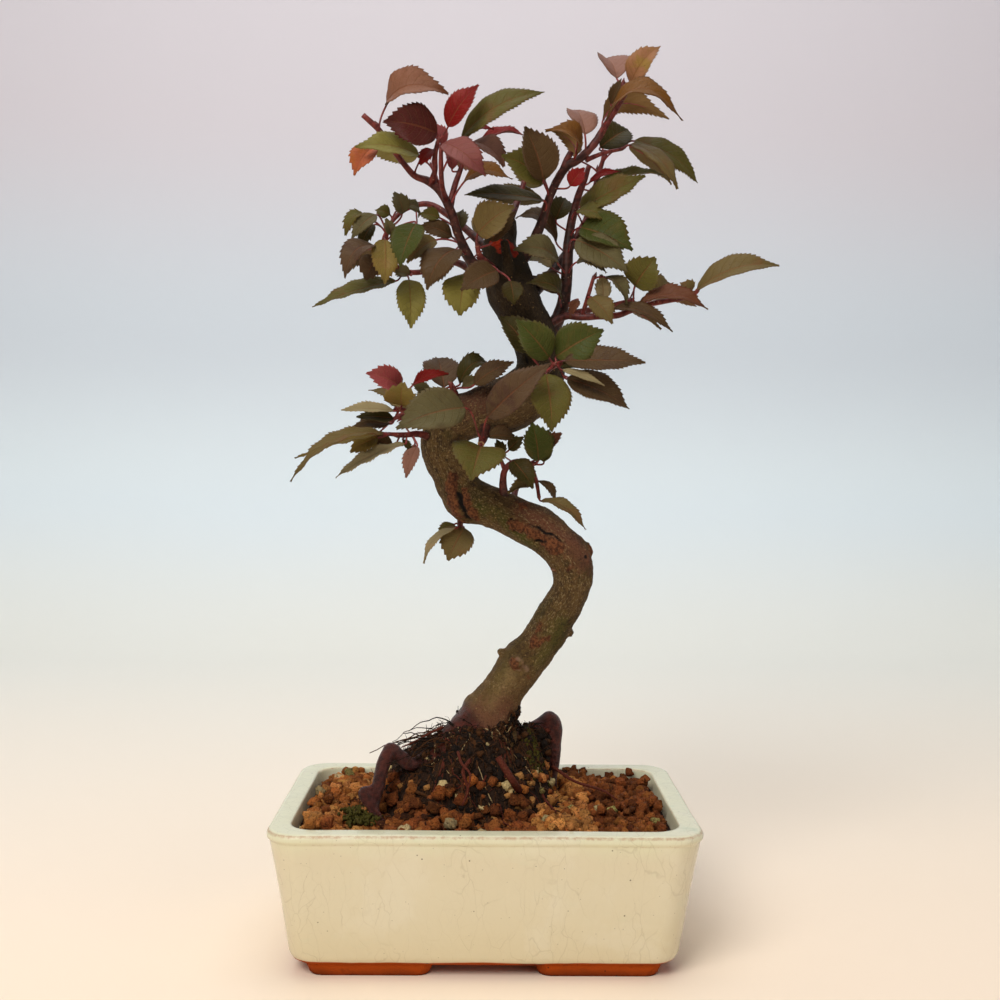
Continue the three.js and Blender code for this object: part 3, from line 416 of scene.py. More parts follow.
# each level of a foot above its sole, as [height, inset]
FOOT_LEVELS = [(0.9, 1.2), (2.2, 0.8), (4, 0.1), (7, 0)]
DRAIN_RADIUS, DRAIN_PLACE, FLOOR_MIDDLE, DRAIN_LENGTH = 8, 38, 8, 10
WELD_GAP = 0.01


def after_modifiers(loose, *helpers):
    """The mesh that an object's modifiers make. The object and its helpers are removed."""
    bpy.context.view_layer.update()
    shaped = loose.evaluated_get(bpy.context.evaluated_depsgraph_get())
    bm = bmesh.new()
    bm.from_mesh(shaped.to_mesh())
    for each in (loose, *helpers):
        bpy.data.meshes.remove(each.data)
    return bm


def solid_after(bm, operation, others):
    """Joins other solids to a mesh (UNION) or cuts them out of it (DIFFERENCE)."""
    whole = new_object("whole", as_mesh(bm, "whole"))
    helpers = [new_object("other", as_mesh(other, "other")) for other in others]
    for helper in helpers:
        modifier = whole.modifiers.new("join", "BOOLEAN")
        modifier.operation, modifier.object, modifier.solver = operation, helper, "EXACT"
    return after_modifiers(whole, *helpers)


def foot(sign_x, sign_y):
    """One foot: narrower at the ground, its lower edge a little worn."""
    wide, deep = FOOT_SIZE
    sole = (wide - 2 * SOLE_INSET, deep - 2 * SOLE_INSET)
    made, face = corner_block(*sole, FOOT_CORNER - 1, 0, SOLE_TOP, 4)
    for height, inset in FOOT_LEVELS:
        face = raise_face(made, face, height, wide - 2 * inset, deep - 2 * inset)
    bmesh.ops.recalc_face_normals(made, faces=made.faces)
    place = (sign_x * FOOT_PLACE[0], sign_y * FOOT_PLACE[1], 0)
    bmesh.ops.translate(made, vec=place, verts=made.verts)
    return made


def drain(side):
    """The rod that cuts one drain hole."""
    made = bmesh.new()
    bmesh.ops.create_cone(
        made, cap_ends=True, segments=32, radius1=DRAIN_RADIUS, radius2=DRAIN_RADIUS,
        depth=DRAIN_LENGTH, matrix=Matrix.Translation((side * DRAIN_PLACE, 0, FLOOR_MIDDLE)),
    )
    return made


bm = solid_after(bm, "UNION", [foot(x, y) for x in (-1, 1) for y in (-1, 1)])
pot_shell = solid_after(bm, "DIFFERENCE", [drain(-1), drain(1)])
bmesh.ops.remove_doubles(pot_shell, verts=pot_shell.verts, dist=WELD_GAP)
print("pot with feet and drains:", len(pot_shell.faces), "faces")

# %% [markdown]
# ## Crackled glaze over orange clay
#
# The glaze is pale celadon on the rim and creamier down the walls; part of that change with height
# is painted light, a cool tint from above on the rim and a warm one low down. It has crazed: a fine
# net of cracks, longer up and down than across, has taken up tea-coloured dirt. Where it ran thin
# over an edge the iron in the clay burns through brown. Below the footline the clay is bare. The
# cracks are the borders between Voronoi cells, read through coordinates that are pressed flat and
# bent a little by noise; the height of a point says whether it is glaze or bare clay.

# %% Glaze finish
glazed_stoneware, nodes, shader = new_material("glazed_stoneware")
place = nodes.place()
height = nodes.part(place, 2)
drift = nodes.times(nodes.minus(nodes.noise(place, 34.0, 3.0), 0.5), 0.012)
glaze_line = nodes.step(nodes.plus(height, nodes.times(drift, 0.16)), 0.0064, 0.0071)
# the glaze's tint by height is partly its own colour and partly painted light: cooler and mintier on
# the rim, warmer cream low down
up_the_wall = nodes.step(nodes.plus(height, drift), 0.050, 0.0625)
down_the_wall = nodes.step(nodes.plus(height, drift), 0.038, 0.004)
colour = nodes.tones(up_the_wall, "dcd3b6", "dedcbc")
colour = nodes.lay(colour, "d8cca9", down_the_wall, 0.75)
pale_cloud = clouds(nodes, place, 26.0, 0.45)
colour = nodes.lay(colour, "e4dec8", pale_cloud, 0.35)
mint_cloud = clouds(nodes, nodes.stretch(place, (1, 1, 1.6)), 55.0, 0.3)
mint_share = nodes.times(mint_cloud, nodes.plus(nodes.times(up_the_wall, 0.5), 0.12))
colour = nodes.lay(colour, "c6d0b4", mint_share)

wander = nodes.node("ShaderNodeTexNoise", {"Vector": place, "Scale": 90.0, "Detail": 2.0})
inputs = {0: wander.outputs["Color"], "Scale": 0.007}
wander = nodes.node("ShaderNodeVectorMath", inputs, operation="SCALE").outputs[0]
bent = nodes.node("ShaderNodeVectorMath", {0: place, 1: wander}, operation="ADD").outputs[0]
crazed = nodes.stretch(bent, (1, 1, 0.3))
border = nodes.cells(crazed, 145.0, "DISTANCE_TO_EDGE").outputs["Distance"]
crack = nodes.inverse(nodes.step(border, 0.0, 0.026))
fine_cells = nodes.cells(nodes.stretch(crazed, (1, 1, 1.5)), 330.0, "DISTANCE_TO_EDGE")
fine_crack = nodes.inverse(nodes.step(fine_cells.outputs["Distance"], 0.0, 0.05))
dirty = nodes.step(nodes.noise(place, 48.0, 3.0), 0.38, 0.62)
crack_tone = nodes.times(nodes.plus(crack, nodes.times(fine_crack, 0.35)), dirty)
colour = nodes.lay(colour, "8a7650", crack_tone, 0.17)
speck = specks(nodes, place, 520.0, 0.012)
colour = nodes.lay(colour, "4c3a26", speck, 0.75)
pinhole = specks(nodes, place, 900.0, 0.03)
colour = nodes.lay(colour, "6c5636", pinhole, 0.45)

thin = nodes.read("thin_glaze")
ragged = nodes.times(nodes.minus(nodes.noise(place, 420.0, 5.0, 0.7), 0.5), 1.5)
burnt = nodes.step(nodes.plus(thin, ragged), 0.42, 1.05)
colour = nodes.lay(colour, "a8764e", burnt, 0.7)
clay_cloud = clouds(nodes, place, 70.0, 0.4)
clay = nodes.tones(clay_cloud, "a3440f", "6e2b0b")
clay = nodes.lay(clay, "4a2412", specks(nodes, place, 420.0, 0.25))
# the bare clay is made darker in its lowest few millimetres, where the feet meet the floor
darker_at_floor = nodes.inverse(nodes.step(nodes.plus(height, drift), -0.001, 0.0035))
clay = nodes.lay(clay, "3a1d0f", darker_at_floor, 0.55)
colour = nodes.mix(glaze_line, clay, colour)

gloss = nodes.minus(0.85, nodes.times(glaze_line, 0.66))
gloss = nodes.plus(gloss, nodes.times(burnt, 0.25))
relief = nodes.minus(nodes.times(nodes.noise(place, 70.0, 3.0), 3.0), nodes.times(crack, 0.25))
rough_clay = nodes.times(grit(nodes, place, 1100.0), nodes.inverse(glaze_line))
relief = nodes.plus(relief, nodes.times(rough_clay, 1.2))
shine = nodes.plus(0.1, nodes.times(glaze_line, 0.4))
finish(nodes, shader, Base_Color=colour, Roughness=gloss, Specular_IOR_Level=shine)
finish(nodes, shader, Normal=nodes.bump(relief, 0.5, 0.0003))

pot = finished(pot_shell, "pot_glazed", [glazed_stoneware], "glazed_stoneware", "pot")
even = pot.modifiers.new("even shading", "WEIGHTED_NORMAL")
even.keep_sharp = True
print("glaze nodes:", len(glazed_stoneware.node_tree.nodes))

# %% [markdown]
# ## Drain screens
#
# Plastic mesh keeps the soil from falling through the drains. The CAD screens already have the
# right shape, so they stay and only get a finish: black plastic, dusted by clay.

# %% Screen finish
screen_plastic, nodes, shader = new_material("screen_plastic")
place = nodes.place()
dust = clouds(nodes, place, 150.0, 0.5)
colour = nodes.tones(dust, "1d1d1c", "5a3b26")
scratches = nodes.bump(grit(nodes, place, 700.0), 0.3, 0.0002)
matt = nodes.plus(0.45, nodes.times(dust, 0.4))
finish(nodes, shader, Base_Color=colour, Roughness=matt, Normal=scratches)
for side in ("left", "right"):
    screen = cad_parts[f"drain_screen_{side}"]
    screen.data.materials.clear()
    screen.data.materials.append(screen_plastic)
print("screens finished")

# %% [markdown]
# ## The root ball's form
#
# Soil and fine roots rise round the trunk's foot in a dome with steep sides. Other pieces need to
# know how high it is at a point: grains lie against it and roots creep over it. So its height is
# a function, and the same function shapes its mesh.

# %% Height of the root ball
BALL_X, BALL_Y, BALL_HALF_X, BALL_HALF_Y = -10, 2, 43, 34
SOIL_LEVEL, BALL_RISE = 57, 30
LUMP_SIZE, LUMP_HEIGHT = 8, 2.6
# where the mat swells up, as [x, y, how wide, how high]
COLLARS = [(-3, 0, 16, 11), (21, 7, 8, 13)]


def ball_reach(x, y):
    """0 at the middle of the root ball and 1 at its edge."""
    return math.hypot((x - BALL_X) / BALL_HALF_X, (y - BALL_Y) / BALL_HALF_Y)


def ball_height(x, y):
    """The root ball's height above a point. It swells up round the trunk and the right root."""
    reach = min(ball_reach(x, y), 1)
    lump = noise.fractal(Vector((x, y, 0)) / LUMP_SIZE, 0.8, 2.2, 4) * LUMP_HEIGHT
    height = SOIL_LEVEL + BALL_RISE * (1 - reach ** 3) + lump
    for middle_x, middle_y, wide, rise in COLLARS:
        height += rise * math.exp(-((x - middle_x) ** 2 + (y - middle_y) ** 2) / wide ** 2)
    return height


print("root ball top at", round(ball_height(BALL_X, BALL_Y), 1), "mm")

# %% [markdown]
# ## Smooth stems
#
# Trunk, roots, twigs and leaf stalks are all the same kind of shape: a round section that follows a
# curve and changes its width. A few given places are enough, because a centripetal spline runs
# through them without loops. The tube itself starts as a straight rod that is cut into rings; each
# ring is then moved to its place on the line, turned no more than the line turns, so the skin never
# twists.

# %% Curves and tubes
TINY = 1e-6


def eased(share):
    """Gives an even change from 0 to 1 a soft start and end."""
    return share * share * (3 - 2 * share)


def curve_point(points, along):
    """The point at a place from 0 to len(points) - 1 on a smooth curve through the points."""
    n = min(int(along), len(points) - 2)
    share = along - n
    before = points[n - 1] if n else points[0] * 2 - points[1]
    after = points[n + 2] if n + 2 < len(points) else points[-1] * 2 - points[-2]
    near, far = points[n], points[n + 1]
    gap_in, gap, gap_out = (
        max((b - a).length, TINY) ** 0.5 for a, b in ((before, near), (near, far), (far, after))
    )
    leave = ((near - before) / gap_in - (far - before) / (gap_in + gap) + (far - near) / gap) * gap
    arrive = ((far - near) / gap - (after - near) / (gap + gap_out) + (after - far) / gap_out) * gap
    turn = far * 3 - near * 3 - leave * 2 - arrive
    twist = near * 2 - far * 2 + leave + arrive
    return near + leave * share + turn * share ** 2 + twist * share ** 3


def smooth_line(points, widths, steps):
    """Points on the curve, and the radius at each, with a number of steps between two places."""
    line, radii = [], []
    for n in range((len(points) - 1) * steps + 1):
        along = n / steps
        before = min(int(along), len(points) - 2)
        growth = (widths[before + 1] - widths[before]) * eased(along - before)
        line.append(curve_point(points, along))
        radii.append((widths[before] + growth) / 2)
    return line, radii


def rings_along(line, radii):
    """A matrix for each ring of a tube: its place, its turn and its size."""
    heading = (line[1] - line[0]).normalized()
    turn = heading.to_track_quat("Z", "Y")
    for n, (point, radius) in enumerate(zip(line, radii)):
        ahead = (line[min(n + 1, len(line) - 1)] - line[max(n - 1, 0)]).normalized()
        turn = heading.rotation_difference(ahead) @ turn
        heading = ahead
        yield Matrix.LocRotScale(point, turn, Vector((radius, radius, radius)))


def tube(bm, line, radii, sides):
    """Bends a rod along a line. Returns its vertices and the disc at its end."""
    rings = list(rings_along(line, radii))
    rod = bmesh.ops.create_cone(
        bm, cap_ends=True, segments=sides, radius1=1, radius2=1, depth=len(rings) - 1,
        matrix=Matrix.Translation((0, 0, (len(rings) - 1) / 2)),
    )["verts"]
    if len(rings) > 2:
        edges = {edge for vert in rod for edge in vert.link_edges}
        standing = [edge for edge in edges if abs(edge.verts[0].co.z - edge.verts[1].co.z) > 0.1]
        cuts = len(rings) - 2
        made = bmesh.ops.subdivide_edges(bm, edges=standing, cuts=cuts, use_grid_fill=True)
        pieces = [item for item in made["geom_split"] if isinstance(item, bmesh.types.BMEdge)]
        rod = list({vert: None for edge in pieces for vert in edge.verts})
    faces = {face: None for vert in rod for face in vert.link_faces}
    end = max(faces, key=lambda face: face.calc_center_median().z)
    for vert in rod:
        vert.co = rings[round(vert.co.z)] @ Vector((vert.co.x, vert.co.y, 0))
    return rod, end


BATCH = 30


def in_batches(bm, layer_name, items, make):
    """Makes many small shapes, a few at a time, because operators are slow in a big mesh."""
    for start in range(0, len(items), BATCH):
        part = bmesh.new()
        layer = part.verts.layers.float_color.new(layer_name)
        for item in items[start:start + BATCH]:
            make(part, layer, *item)
        mesh = as_mesh(part, "batch")
        bm.from_mesh(mesh)
        bpy.data.meshes.remove(mesh)


print("tube maker ready")

# %% [markdown]
# ## Clay grains
#
# The pot is filled with fired clay grains, three to seven millimetres across, orange, red-brown,
# tan and here and there cream. A handful of different grains is enough: a cube with each face cut
# in nine, pushed out to a ball and dented by noise. They are laid out in rows like eggs in a tray,
# then every one is moved, turned and scaled by a seeded draw, so the bed is the same each time.
# Each grain carries its own tone as a vertex colour. Crumbs for the root mat are cut coarser.

# %% A handful of grains
GRAIN_SHAPES = 14


def grain_shape(number, cuts):
    """One angular grain about 2 mm across, as a mesh to be copied. More cuts make it finer."""
    made = bmesh.new()
    bmesh.ops.create_cube(made, size=2)
    bmesh.ops.subdivide_edges(made, edges=made.edges, cuts=cuts, use_grid_fill=True)
    for vert in made.verts:
        ball = vert.co.normalized()
        spot = ball + Vector((number * 7, 0, 0))
        dent = noise.noise(spot * 1.2) * 0.42 + noise.noise(spot * 3.3) * 0.3
        vert.co = vert.co.lerp(ball * 1.2, 0.66) * (0.84 + dent)
    return as_mesh(made, "grain")


grain_shapes = [grain_shape(number, 2) for number in range(GRAIN_SHAPES)]
crumb_shapes = [grain_shape(number, 1) for number in range(GRAIN_SHAPES)]
print("faces:", len(grain_shapes[0].polygons), "a grain,", len(crumb_shapes[0].polygons), "a crumb")

# %% Soil bed: a block under the grains, then grains in layers
# the inset of the pot's inner wall at the top and at the floor, and the gap that the soil leaves
WALL_INSET, FLOOR_INSET, SOIL_GAP, BED_CORNER = 9.5, 17.5, 0.4, 13
# the block under the grains, as [height, how far it has widened from the floor to the top]
BLOCK_LEVELS = [(30, 0.6), (55, 1)]
GRAIN_LAYERS = (56.0, 58.7, 61.4)
GRAIN_ROWS, GRAIN_COLUMNS = range(-11, 12), range(-18, 19)
BLOCK_CORNER, BLOCK_LOW, BLOCK_HIGH = 8, 13, 14
# the grains are heaped a little along the back rim
BACK_FROM, BACK_HEAP = 26, 0.25
# how far apart two grains and two rows of them are, and by what share of that each is moved
GRAIN_PITCH, ROW_SHARE, JITTER = 4.9, 0.9, 0.36
GRAIN_SIZES, RIGHT_GRAIN_SIZES, RIGHT_FROM = (1.8, 3.2), (1.6, 2.6), 44
HEAP_SIZE, HEAP_FROM = 22, 0.12
GRAIN_TONES = {
    "orange": "bc7034", "rust": "965226", "red": "7c4420", "dark": "4c2a16", "tan": "e09650",
    "cream": "d2ba84", "lime": "b0a05c",
}
PALE_SHARE = 0.055
draw = random.Random(11)


def grain_tone(x, y):
    """Which clay lies where: orange on the left, a tan heap right of the middle, then red."""
    if x < -48:
        choices = "tan orange orange orange tan rust"
    elif y < -43 and x < 21:
        choices = "tan orange rust orange cream rust"
    elif 21 < x < 46 and y < 30:
        choices = "tan tan tan tan orange"
    elif x >= 45:
        choices = "rust rust red rust orange red"
    else:
        choices = "orange rust rust rust red dark"
    name = draw.choice(choices.split())
    if draw.random() < PALE_SHARE:
        name = draw.choice(["cream", "cream", "lime", "tan"])
    light = draw.uniform(0.62, 1.3)
    channels = paint(GRAIN_TONES[name])[:3]
    return [value * light * draw.uniform(0.94, 1.06) for value in channels] + [1]


def add_grain(bm, layer, centre, size, tone, shapes=grain_shapes):
    """Copies one of the shapes into the bed, turned and stretched by the draw."""
    start = len(bm.verts)
    bm.from_mesh(draw.choice(shapes))
    axis = Vector((draw.random(), draw.random(), 0.5)).normalized()
    deep, high = draw.uniform(0.75, 1.1), draw.uniform(0.7, 1)
    turn = Matrix.Rotation(draw.uniform(0, math.tau), 4, axis)
    stretch = Matrix.Diagonal((size, size * deep, size * high, 1))
    move = Matrix.Translation(centre) @ turn @ stretch
    for vert in list(bm.verts)[start:]:
        vert.co = move @ vert.co
        vert[layer] = tone


bed_x, bed_y = POT_WIDTH / 2 - WALL_INSET - SOIL_GAP, POT_DEPTH / 2 - WALL_INSET - SOIL_GAP
foot_x, foot_y = POT_WIDTH / 2 - FLOOR_INSET - SOIL_GAP, POT_DEPTH / 2 - FLOOR_INSET - SOIL_GAP


def in_the_bed(x, y, size):
    """Whether a grain is clear of the pot's inner wall and its rounded corners."""
    past_x, past_y = max(abs(x) - bed_x + BED_CORNER, 0), max(abs(y) - bed_y + BED_CORNER, 0)
    corner = math.hypot(past_x, past_y) < BED_CORNER - 1 - size
    return abs(x) < bed_x - size and abs(y) < bed_y - size and corner


bm, top = corner_block(2 * foot_x, 2 * foot_y, BLOCK_CORNER, BLOCK_LOW, BLOCK_HIGH)
tone_layer = bm.verts.layers.float_color.new("grain_tone")
for height, share in BLOCK_LEVELS:
    wide, deep = foot_x + (bed_x - foot_x) * share, foot_y + (bed_y - foot_y) * share
    top = raise_face(bm, top, height, 2 * wide, 2 * deep)
bmesh.ops.recalc_face_normals(bm, faces=bm.faces)
# the block shows only in the gaps between grains; its dark brown is painted shade for those gaps
for vert in bm.verts:
    vert[tone_layer] = paint("3a2014")
grains = []
for layer, height in enumerate(GRAIN_LAYERS):
    for row in GRAIN_ROWS:
        for column in GRAIN_COLUMNS:
            x = (column + 0.5 * (row % 2) + draw.uniform(-JITTER, JITTER)) * GRAIN_PITCH
            y = (row + draw.uniform(-JITTER, JITTER)) * GRAIN_PITCH * ROW_SHARE
            size = draw.uniform(*(RIGHT_GRAIN_SIZES if x > RIGHT_FROM else GRAIN_SIZES))
            heaped = noise.noise(Vector((x, y, 5)) / HEAP_SIZE)
            heaped += BACK_HEAP if y > BACK_FROM else 0
            skirt = ball_reach(x, y)
            if not in_the_bed(x, y, size) or skirt < draw.uniform(0.72, 0.95):
                continue
            if layer == 2 and heaped < HEAP_FROM:
                continue
            lift = draw.uniform(-0.8, 0.8) + (0.8 * heaped if layer else 0)
            if skirt < 1:
                lift += max(ball_height(x, y) - SOIL_LEVEL, 0)
            grains.append((Vector((x, y, height + lift)), size, grain_tone(x, y)))
in_batches(bm, "grain_tone", grains, add_grain)
print("grains in the bed:", len(grains))

# %% [markdown]
# ## Finish of fired clay
#
# Clay grains are matt and dusty. Their own tone comes from the vertex colour; clouds, pits and a
# few bright crumbs keep two grains of one tone from looking alike. The pits are sunk in the relief
# and darkened with painted shade.

# %% Clay finish
akadama, nodes, shader = new_material("akadama")
place = nodes.place()
colour = nodes.read("grain_tone", "Color")
dusty = clouds(nodes, place, 520.0, 0.45)
colour = nodes.lay(colour, "cc8440", dusty, 0.25)
damp = clouds(nodes, place, 160.0, 0.35)
colour = nodes.lay(colour, "34170a", damp, 0.5)
crumb = specks(nodes, place, 1100.0, 0.14)
colour = nodes.lay(colour, "e0a868", crumb, 0.5)
pitted = nodes.noise(place, 900.0, 3.0, 0.7)
# painted shade: the pits, which lie low in the relief, are darkened
colour = nodes.lay(colour, "2e1206", nodes.step(pitted, 0.48, 0.34), 0.65)
relief = nodes.plus(grit(nodes, place, 1000.0), nodes.times(pitted, 1.5))
dry = nodes.minus(0.98, nodes.times(damp, 0.15))
finish(nodes, shader, Base_Color=colour, Roughness=dry, Normal=nodes.bump(relief, 1.0, 0.0016))
shader.inputs["Specular IOR Level"].default_value = 0.2
finished(bm, "soil_bed", [akadama], "akadama", "soil")

# %% [markdown]
# ## Old wood
#
# The trunk, its thick surface roots and the stubs of pruned branches are one piece of wood. Each
# is first a tube along given places. A voxel remesh then melts the tubes into one skin, as
# cambium grows over a joint. For the bark, every point of the skin needs to know where it lies on
# its limb: how far along, and on which side. That fibre coordinate is kept as an attribute, so both
# the relief in the mesh and the streaks in the finish run with the wood, round both bends.

# %% Places of the old wood


def numbers(text):
    return [float(word) for word in text.split()]


def limb(text):
    """The places along a limb, as [column, row, depth], and its width in mm at each."""
    spots = [numbers(spot) for spot in text.split(",")]
    return [spot[:3] for spot in spots], [spot[3] for spot in spots]


def rows(table):
    """The rows of a table. A row that ends with a comma goes on in the next line."""
    return table.strip().replace(",\n", ", ").splitlines()


def limbs(table):
    return [limb(row) for row in rows(table)]


# each limb as "column row depth width" at its places
TRUNK = limbs("""
478 778 6 30, 480 752 6 35, 485 732 5 33, 490 714 4 27, 496 703 4 22.5, 504 689 3 19.2,
514 674 2 19.4, 523 661 2 20.5, 537 646 1 18.4, 548 631 0 18.2, 555 617 -1 17.7, 564 603 -2 17.5,
571 588 -3 17.2, 573 571 -4 18.6, 568 555 -5 19.8, 556 543 -5 18.6, 541 530 -4 19.8,
520 520 -2 19.2, 504 512 0 18, 489 506 1 18.6, 469 500 1 21, 459 486 2 19.5, 452 470 2 19,
446 457 3 20.5, 443 441 3 20.5, 450 425 2 21, 468 416 1 21.5, 490 410 0 24, 507 405 -1 25.5,
526 394 -2 24.5, 539 377 -2 22.5, 540 357 -1 21, 534 337 0 20.5, 525 318 1 20.7, 517 303 2 21.8,
511 290 3 22.3, 508 276 3 21.5, 505 263 4 19.5, 500 249 4 16, 503 232 5 13, 507 217 5 10
""")
ROOTS = limbs("""
480 722 4 20, 468 729 1 17, 455 738 -2 14, 440 752 -8 11, 428 768 -13 8
452 742 2 8, 428 756 -8 7, 412 764 -14 6, 400 756 -17 6, 391 750 -19 7, 384 764 -22 6.5,
379 782 -25 6, 374 806 -27 5, 374 824 -28 4
372 788 -26 3.5, 364 793 -28 5, 372 806 -29 4.5, 384 828 -31 4
508 738 10 9, 528 731 14 7, 541 725 16 7.5, 550 720 16 8.5, 554 728 15 8, 553 745 14 7.5,
551 772 14 7, 549 800 14 6
508 745 8 14, 530 764 18 9, 541 790 22 5
476 745 10 16, 466 758 26 9, 460 792 37 5
""")
STUBS = limbs("""
516 661 1 11, 505 654 0 6, 498 650 0 2.4
558 627 0 9, 566 631 0 6, 573 635 0 3
520 668 0 10, 516 661 -9.5 6
572 557 -5 15, 584 551 -5 10, 591 548 -5 6
509 284 -4 6.5, 508 266 -9 5.5, 504 240 -9 4.5
""")

# %% One skin over trunk, roots and stubs
WOOD_VOXEL = 0.75


def remeshed(bm, voxel):
    """Melts overlapping tubes into one closed skin of small squares."""
    loose = new_object("wood", as_mesh(bm, "wood"))
    modifier = loose.modifiers.new("melt", "REMESH")
    modifier.mode, modifier.voxel_size = "VOXEL", voxel
    return after_modifiers(loose)


bm = bmesh.new()
centre_rings = []
# limbs, sides of the tube, steps between two places, and how much of a root's skin they have
KINDS = [(TRUNK, 36, 4, 0), (ROOTS[:1], 24, 6, 0.8), (ROOTS[1:], 18, 6, 1), (STUBS, 16, 5, 0)]
for kind, sides, steps, is_root in KINDS:
    for path, widths in kind:
        line, radii = smooth_line([seen(spot) for spot in path], widths, steps)
        tube(bm, line, radii, sides)
        along = 0
        for n, ring in enumerate(rings_along(line, radii)):
            along += (line[n] - line[n - 1]).length if n else 0
            centre_rings.append((line[n], radii[n], ring.inverted(), along, is_root))
bm = remeshed(bm, WOOD_VOXEL)
bmesh.ops.smooth_vert(
    bm, verts=bm.verts, factor=0.5, use_axis_x=True, use_axis_y=True, use_axis_z=True
)
print("skin of the old wood:", len(bm.faces), "faces")

# %% Where each point lies on its limb
NEAR_RINGS = 8
# a seam is where the coordinate of two neighbours jumps by more than so many times their distance
SEAM_JUMP, SEAM_GROWTH, SEAM_SOFTENING, ROOT_SOFTENING = 4, 3, 4, 18


def search_tree(points):
    """A tree that finds the nearest of these points fast."""
    tree = kdtree.KDTree(len(points))
    for n, point in enumerate(points):
        tree.insert(point, n)
    tree.balance()
    return tree


rings_tree = search_tree([ring[0] for ring in centre_rings])
fibre = bm.verts.layers.float_vector.new("fibre")
root_share = bm.verts.layers.float.new("root_share")
for vert in bm.verts:
    near = rings_tree.find_n(vert.co, NEAR_RINGS)
    _point, best, _gap = min(near, key=lambda found: found[2] - centre_rings[found[1]][1])
    point, radius, to_ring, along, is_root = centre_rings[best]
    local = to_ring @ vert.co
    side = Vector((local.x, local.y, 0)).normalized() * radius
    vert[fibre] = Vector((side.x, side.y, along + local.z * radius))
    vert[root_share] = is_root


def soften(layer, passes):
    """Spreads a value over the skin: each point takes the mean of its neighbours."""
    for _ in range(passes):
        means = {}
        for vert in bm.verts:
            around = [edge.other_vert(vert)[layer] for edge in vert.link_edges]
            means[vert] = sum(around) / len(around)
        for vert, mean in means.items():
            vert[layer] = mean


# a seam runs where two neighbours lie on different limbs
seam = bm.verts.layers.float.new("seam")
for edge in bm.edges:
    one, other = edge.verts
    if (one[fibre] - other[fibre]).length > SEAM_JUMP * edge.calc_length():
        one[seam] = other[seam] = 1
for _ in range(SEAM_GROWTH):
    on_seam = [vert for vert in bm.verts if vert[seam]]
    for vert in {edge.other_vert(vert) for vert in on_seam for edge in vert.link_edges}:
        vert[seam] = 1
soften(seam, SEAM_SOFTENING)
soften(root_share, ROOT_SOFTENING)
print("fibre coordinates set on", len(bm.verts), "points")

# %% [markdown]
# ## Scars
#
# Pruning and wiring have left their story on the trunk: a long callus with a dark crack at the
# lower bend, a torn strip of raw wood on the shoulder, healed knots, and a fresh orange wound at
# the top. Each scar is a short path over the bark with a width, a height in millimetres, which is
# below zero for a crack, and the tone that it leaves. Blush, algae and dry bark only leave a tone.
# The blush across the shoulder is a painted highlight, and the pale dry patch low on the trunk's
# front is painted light.

# %% Scars on the bark
# each scar as its path in the picture, and then its half width, its height and its tone
# the blush along row 400 over the shoulder is a painted highlight; the dry patch at rows 668 to 702
# is painted light
SCARS = """
458 466 -9, 457 484 -9, 460 502 -9, 464 514 -8, 471 525 -5; 1.5 -2 crack
452 478 -8, 450 494 -8, 453 510 -7, 460 523 -5; 2.9 1.2 callus
463 490 -10, 468 508 -10, 476 519 -8; 2.6 0.8 callus
512 524 -11, 524 530 -13, 537 537 -14, 549 543 -14, 559 548 -14; 2.7 0.9 callus
511 519 -11, 526 522 -13, 542 530 -14, 556 537 -14, 571 547 -13; 0.75 -1.1 crack
514 531 -11, 521 539 -12, 532 543 -13, 545 541 -14; 1 -1.5 crack
518 536 -12, 528 541 -13; 0.9 -0.9 crack
549 550 -14, 556 553 -14; 1.8 0.8 callus
512 496 -9, 520 500 -10, 524 504 -10; 2.6 0.7 callus
508 659 -9, 515 665 -9; 2.9 -0.5 callus
510 659 -9; 1 -0.8 crack
499 655 -8, 505 652 -9, 514 654 -10, 521 662 -9, 527 671 -8; 1.1 0.8 pale
506 667 -9, 515 671 -9, 523 672 -9; 0.9 0.5 pale
528 679 -8; 1.5 0.7 callus
528 680 -8; 0.7 -1 crack
537 625 -9, 535 634 -9, 533 644 -9; 2.4 1 callus
540 628 -9, 536 637 -9; 0.8 -0.9 crack
545 638 -8, 538 645 -8; 1.2 0.6 callus
549 638 -8; 1.5 0.5 callus
575 637 -4; 2.2 0.6 callus
590 550 -6; 2.6 0.4 callus
555 568 -9; 1.8 1.2 callus
569 566 -13; 2 1.5 callus
555 568 -10; 0.8 0.2 pale
569 566 -14; 1 0.2 pale
510 500 -9, 515 494 -10, 523 497 -10; 0.8 0.5 pale
448 712 -7, 452 728 -9, 446 742 -10; 3.2 0 pale
578 560 -13, 586 556 -11; 1 -0.5 crack
485 241 -5, 493 236 -6, 502 243 -6, 513 247 -5; 3.6 -0.5 wound
507 300 -9, 505 320 -9; 1.1 -0.6 crack
521 345 -10, 527 362 -10; 1 -0.5 crack
452 402 -8, 470 398 -10, 488 398 -11; 8.5 0 blush
455 724 -8, 478 712 -10, 492 728 -10, 504 714 -8; 9 0 blush
524 508 -12, 545 522 -14, 568 538 -13, 584 560 -10; 6.5 0 blush
560 620 -7, 553 640 -7, 541 662 -7; 4.5 0 algae
480 512 -10, 500 516 -11, 528 545 -10; 4.5 0 algae
500 672 -8, 490 690 -8, 484 706 -9; 4 0 algae
514 668 -9, 503 685 -9, 493 702 -9; 4.5 0 dry
"""
SCAR_TONES = ("crack", "callus", "wound", "blush", "algae", "pale", "dry")
SCAR_SPREAD, RAGGEDNESS, RAG_SIZE, WOBBLE, WOBBLE_SIZE = 1.6, 0.55, 1.7, 0.8, 3.5


def path_gap(point, path):
    """The shortest distance from a point to a path."""
    gaps = [(point - path[0]).length]
    for start, end in zip(path, path[1:]):
        share = max(0, min(1, (point - start).dot(end - start) / (end - start).length_squared))
        gaps.append((point - start.lerp(end, share)).length)
    return min(gaps)


